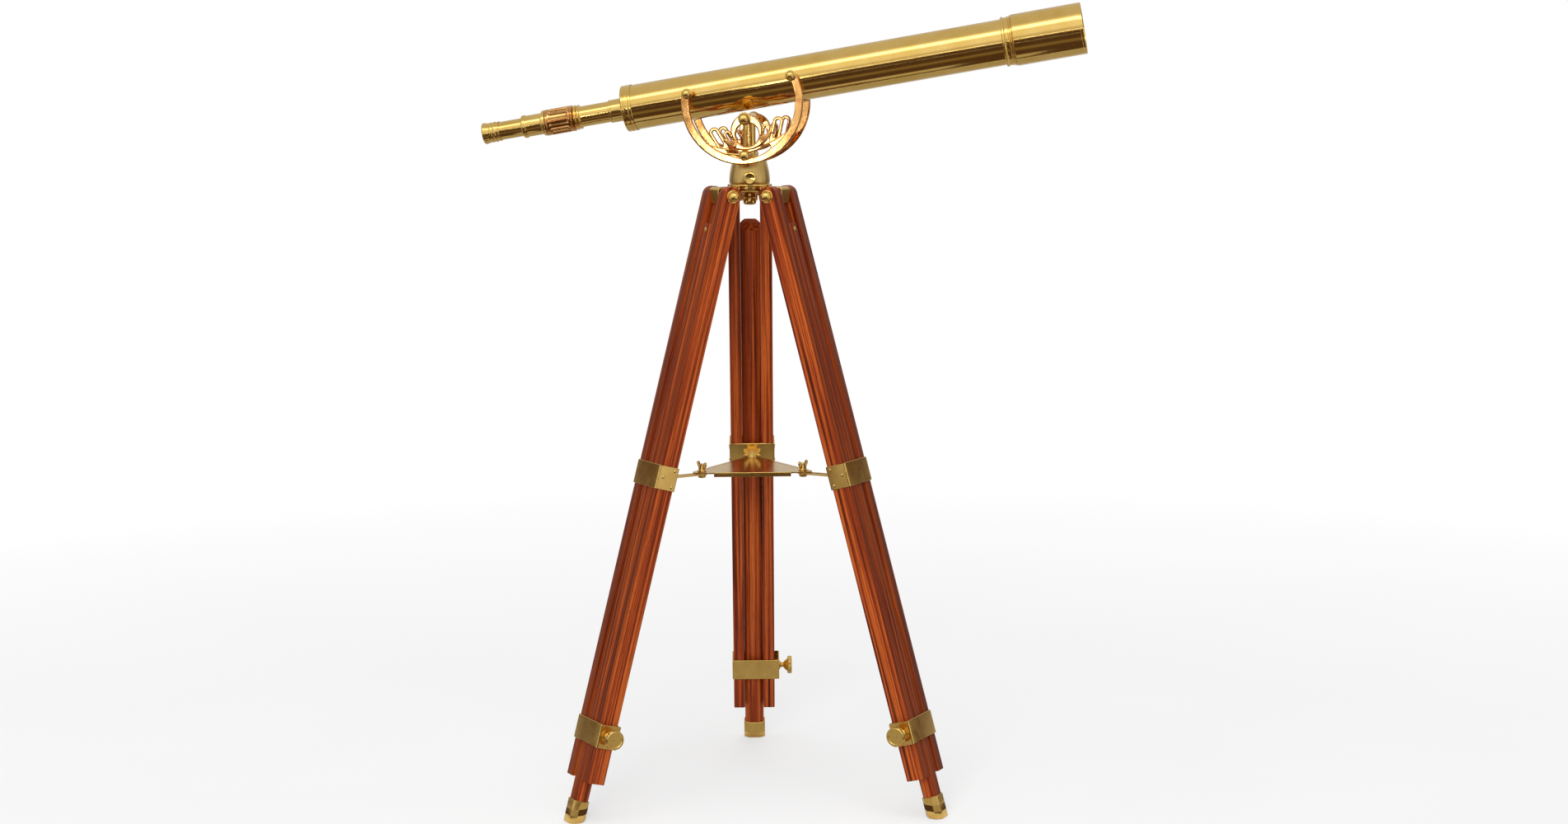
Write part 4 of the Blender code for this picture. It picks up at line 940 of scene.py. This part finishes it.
def thumbscrew(name, place, hand):
    """Clamp screw: stepped neck, flared cup and a knurled disc with a dished face."""
    face = (LEG_WIDTH / 2 + BAND_STAND + BAND_WALL) / MM + BOSS_RISE + 0.6
    tip = (LEG_WIDTH / 2 - RAIL_WIDTH) / MM + 0.3
    outline = [(tip, 0), (tip, 3)] + past(face, [
        (0, 3), (0, 4.2), (1.6, 4.2), (2, 3.2), (3.6, 3.2), (5.4, 5.4), (7.6, 7.6), (9.4, 8.6),
        (9.8, 11.4), (10.6, 12.4), (15.2, 12.4), (16, 11.6), (16, 9.6), (15.2, 9), (14.9, 4.2),
        (15.4, 2.4), (15.5, 0)])
    disc = lathe(outline, 96, "Y", 0.25)
    knurl(disc, "Y", 12.4 * MM, 0.35 * MM)
    spot = place @ at(0, 0, -(LOW_BAND[0] + LOW_BAND[1]) / 2) @ flip(hand)
    piece("leg_%s_thumbscrew" % name, disc, spot, "clamp_" + name, SCREW_BRASS, sharp=30)


def leg(name, azimuth, hand):
    place = leg_frame(azimuth)
    for word, side in (("near", hand), ("far", -hand)):
        rail = stacked(rail_loops(side))
        piece("leg_%s_rail_%s" % (name, word), rail, place, "leg_" + name, WOOD, sharp=30)
    hinge_bolt(name, place, hand)
    band(name, "mid", MID_BAND, place, hand)
    band(name, "low", LOW_BAND, place, hand)
    slide_and_shoe(name, place)
    thumbscrew(name, place, hand)
    strap(name, azimuth)


# ---- spreader

def strap(name, azimuth):
    """Slotted strap with a rolled eye, hinged to the leg and sliding under the spreader."""
    place = BASE @ turn(radians(azimuth), "Z") @ at(STRAP_PIN[0], 0, STRAP_PIN[1])
    half = STRAP_WIDTH / 2
    inner = WING_REACH - STRAP_PIN[0]
    top = SPREADER_TOP - SPREADER_WALL - GAP - STRAP_PIN[1]
    outline = arc(inner, 0, half, 90, 270, 12) + [(-2.6 * MM, -half), (-2.6 * MM, half)]
    a, b = inner - 0.2 * MM, inner + SLOT_TRAVEL
    slot = arc(b, 0, 3.5 * MM, -90, 90, 8) + arc(a, 0, 3.5 * MM, 90, 270, 8)
    bar = slab(outline, [slot], top - STRAP_WALL, top, "XY")
    eye = turned([(y * MM, r * MM) for y, r in ((-7, 2), (7, 2), (7, 3.1), (6.7, 3.4), (-6.7, 3.4),
                                                (-7, 3.1))], 32, "Y")
    piece("strap_" + name, bar, place, "strap_" + name, SHEET_BRASS, bevel=0.35 * MM)
    piece("strap_eye_" + name, eye, place, "strap_" + name, SCREW_BRASS, extra=True)


def wing_screw(name, azimuth):
    """Wing nut on a washer, bolt end above it and a round head under the strap."""
    place = (BASE @ turn(radians(azimuth), "Z") @ at(WING_REACH, 0, SPREADER_TOP))
    under = -(SPREADER_WALL + GAP + STRAP_WALL) / MM - 1.2
    bolt = [(under - 2.6, 0), (under - 2.6, 4), (under - 1.8, 5.2), (under, 5.2), (under, 3),
            (9.6, 3), (10.4, 2.4), (10.4, 0)]
    nut = [(0.3, 3), (0.3, 6), (1.2, 6), (1.4, 4.9), (2.6, 4.7), (6.8, 4), (8.2, 3.6), (8.4, 3)]
    parts = [lathe(bolt, 32, "Z", 0.2), lathe(nut, 40, "Z", 0.3)]
    for side in (-1, 1):
        wing = [(2.8, 2.2), (5, 3), (8.4, 5.6), (11, 8.6), (11.6, 11), (10.4, 12.9), (8.2, 12.9),
                (6.4, 11.2), (5, 8.6), (3.4, 7.2)]
        outline = soft([(side * y * MM, z * MM) for y, z in wing], 2 * MM, 3)
        parts.append(slab(outline, [], -1.1 * MM, 1.1 * MM, "YZ"))
    piece("wing_screw_" + name, join(*parts), place, "wing_" + name, SCREW_BRASS, bevel=0.4 * MM)


def spreader():
    outline, holes = [], []
    for _, azimuth, _ in LEGS:
        x, y = cos(radians(azimuth)), sin(radians(azimuth))
        outline += arc(TIP_REACH * x, TIP_REACH * y, TIP_RADIUS, azimuth - 60, azimuth + 60, 12)
        holes.append(arc(WING_REACH * x, WING_REACH * y, 3.3 * MM, 0, 345, 23))
    low = SPREADER_TOP - SPREADER_WALL
    plate = slab(outline, holes, low, SPREADER_TOP, "XY")
    piece("spreader_plate", plate, BASE, "spreader", SHEET_BRASS, bevel=0.3 * MM)
    edge = TIP_REACH / 2 + TIP_RADIUS
    back, front, inner = edge - 6 * MM, edge + 0.3 * MM, edge - 1.3 * MM
    skin, under, drop = SPREADER_TOP + 0.15 * MM, low + 0.2 * MM, low - 4 * MM
    bend = soft([(back, skin), (front, skin), (front, drop), (inner, drop), (inner, under),
                 (back, under)], 0.9 * MM, 4)
    for name, azimuth, _ in LEGS:
        lip = slab(bend, [], -50 * MM, 50 * MM)
        piece("spreader_lip_" + name, lip, BASE @ turn(radians(azimuth + 180), "Z"), "spreader",
              SHEET_BRASS, extra=True, bevel=0.25 * MM)
        wing_screw(name, azimuth)


# ---- studio

def sheet(name, width, height):
    bm = bmesh.new()
    corners = ((-1, -1), (1, -1), (1, 1), (-1, 1))
    bm.faces.new([bm.verts.new((a * width / 2, b * height / 2, 0)) for a, b in corners])
    return to_mesh(name, bm)


def card(name, width, height, place, strength, colour, fade=0):
    """Plane seen only in reflections: a bright panel or a dark flag, its edges fading along Y."""
    mesh = sheet(name, width, height)
    obj = placed(name, mesh, place)
    look = Look(name)
    glow = look.node("Emission", colour, strength)
    if fade:
        away = look.compute("ABSOLUTE", look.node("SeparateXYZ", look.coords).outputs["Y"])
        ramp = look.node("MapRange", away, height / 2 * (1 - fade), height / 2, 0, 1)
        ramp.interpolation_type = "SMOOTHSTEP"
        look.mixed(ramp.outputs["Result"], glow, look.node("BsdfTransparent"))
    else:
        look.show(glow)
    look.material.cycles.emission_sampling = "NONE"
    mesh.materials.append(look.material)
    for flag in ("camera", "diffuse", "transmission", "shadow", "volume_scatter"):
        setattr(obj, "visible_" + flag, False)


def facing(location, target):
    """Matrix at a location whose -Z looks at the target and whose X stays level."""
    spot = Vector(location)
    return at(*spot) @ (Vector(target) - spot).to_track_quat("-Z", "Y").to_matrix().to_4x4()


def lamp(name, location, target, size, power):
    data = bpy.data.lights.new(name, "AREA")
    data.shape = "RECTANGLE"
    data.size, data.size_y = size
    data.energy = power
    obj = placed(name, data, facing(location, target))
    obj.visible_camera = False
    obj.visible_glossy = False


def studio():
    pale_floor()
    surroundings()
    centre = Vector((BASE.translation.x, BASE.translation.y, 0))
    aim = centre + Vector((0, 0, 0.5))
    lamp("key", centre + Vector((-0.5, -3.1, 1.5)), aim, (1.6, 1.6), 66)
    lamp("top", centre + Vector((0, -0.6, 3.2)), aim, (2, 2), 42)
    lamp("back", centre + Vector((0.4, 2.8, 2.2)), aim, (2.4, 1.2), 26)

    # Panels that the polished tube and the flat front plate mirror towards the camera
    hub = centre + Vector((-0.4, 0, PIVOT_HEIGHT + TUBE_RISE))
    for word, lean, away, width, height, strength, fade in (
            ("wide", 50, 2.8, 6.4, 3.5, 1, 0.4), ("bright", 39, 2.6, 5.6, 0.95, 3.6, 0.85)):
        angle = radians(lean)
        spot = hub + away * Vector((0, -sin(angle), cos(angle)))
        card("overhead_" + word, width, height, facing(spot, hub), strength, (1, 1, 0.98), fade)

    def set_out(pose, rows):
        """Cards at (x, y, z) from the centre, all in the same pose."""
        for name, width, height, x, y, z, strength, colour, *fade in rows:
            card(name, width, height, at(centre.x + x, centre.y + y, z) @ pose, strength, colour,
                 *fade)

    upright = turn(pi / 2, "X")
    white, warm, dark = (1, 1, 1), (1, 0.97, 0.9), (0.085, 0.05, 0.036)
    set_out(upright, (
        ("line_panel", 3.2, 0.045, -0.8, -3.28, 0.9775, 5, white),
        ("plate_panel", 0.17, 0.20, -1.04, -3.18, 0.76, 14, white),
        ("low_flag", 3.6, 0.61, -0.8, -3.3, 0.345, 1, dark),
        ("flag_step_left", 1.2, 0.225, -2, -3.3, 0.7625, 1, dark),
        ("flag_step_right", 1.7, 0.225, 0.15, -3.3, 0.7625, 1, dark)))
    set_out(Matrix.Identity(4), (
        ("floor_flag", 3.6, 3.3, -0.6, -1.62, 0.010, 1, dark),
        ("floor_glow", 3.4, 0.8, -0.6, -1.12, 0.014, 0.22, (1, 0.8, 0.5), 0.9),
        ("floor_shade", 3, 1.6, -0.4, 0.86, 0.008, 0.42, warm),
        ("shoe_card_left", 0.42, 0.30, -0.22, -0.23, 0.018, 0.5, warm, 0.3),
        ("shoe_card_right", 0.42, 0.30, 0.22, -0.23, 0.018, 0.5, warm, 0.3)))
    for word, sign in (("left", -1), ("right", 1)):
        knob = centre + Vector((sign * 0.177, -0.164, 0.113))
        spot = knob + Vector((-sign * 0.104, -0.060, -0.031))
        card("knob_card_" + word, 0.10, 0.10, facing(spot, knob), 0.42, (1, 0.95, 0.85))
        place = at(centre.x + sign * 3.4, centre.y + 2.2, 0.7) @ upright
        card("flag_" + word, 3.6, 1.9, place @ turn(sign * radians(57), "Y"), 1,
             (0.10, 0.055, 0.03))
        beside = facing(centre + Vector((sign * 3, -1.76, 0.6)), centre + Vector((0, 0, 0.45)))
        card("side_panel_" + word, 1.7, 1.3, beside, 0.92, warm)


def pale_floor():
    """Pale floor that runs out into the white of the surroundings."""
    mesh = sheet("floor", 60, 60)
    floor = placed("floor", mesh, Matrix.Identity(4))
    look = Look("pale_floor")
    shade = look.ramp(look.noise(2, 2), (0.3, (0.84, 0.84, 0.84)), (0.7, (0.88, 0.88, 0.88)))
    mesh.materials.append(look.set(base_color=shade, roughness=0.9, specular_ior_level=0.1))
    far = look.node("VectorMath", look.coords)
    far.operation = "LENGTH"
    share = look.span(far.outputs["Value"], 0.55, 1, 0.6, 2.4)
    seen = look.node("LightPath").outputs["Is Camera Ray"]
    look.mixed(look.compute("MULTIPLY", share, seen), look.shader,
               look.node("Emission", (1, 1, 1), 1))
    look.material.cycles.emission_sampling = "NONE"


def surroundings():
    """White to the camera, dimmer for reflections and dimmer still for soft light."""
    world = bpy.data.worlds.new("studio")
    bpy.context.scene.world = world
    world.use_nodes = True
    nodes, links = world.node_tree.nodes, world.node_tree.links
    ray = nodes.new("ShaderNodeLightPath")
    level = nodes["Background"]
    level.inputs["Color"].default_value = (1, 1, 1, 1)
    level.inputs["Strength"].default_value = 0.34
    for output, strength in (("Is Glossy Ray", 0.62), ("Is Camera Ray", 1)):
        other = nodes.new("ShaderNodeBackground")
        other.inputs["Color"].default_value = (1, 1, 1, 1)
        other.inputs["Strength"].default_value = strength
        mix = nodes.new("ShaderNodeMixShader")
        links.new(ray.outputs[output], mix.inputs["Fac"])
        links.new(level.outputs[0], mix.inputs[1])
        links.new(other.outputs[0], mix.inputs[2])
        level = mix
    links.new(level.outputs[0], nodes["World Output"].inputs["Surface"])


def camera():
    """Long lens at head height in front, looking slightly down."""
    yaw, pitch, roll = 0.0146, -0.135, -0.008
    data = bpy.data.cameras.new("camera")
    data.sensor_width = 36
    data.lens = 56.72
    data.clip_end = 100
    stand = BASE @ at(-4.755 * MM, -3213.783 * MM, 945.508 * MM)
    aim = stand @ turn(-yaw, "Z") @ turn(pi / 2 + pitch, "X") @ turn(roll, "Z")
    bpy.context.scene.camera = placed("camera", data, aim)


objective_end()
body_tube()
eyepiece_end()
cradle()
pillar()
head()
for leg_name, leg_azimuth, leg_hand in LEGS:
    leg(leg_name, leg_azimuth, leg_hand)
spreader()
studio()
camera()
bpy.context.scene.view_settings.view_transform = "Standard"
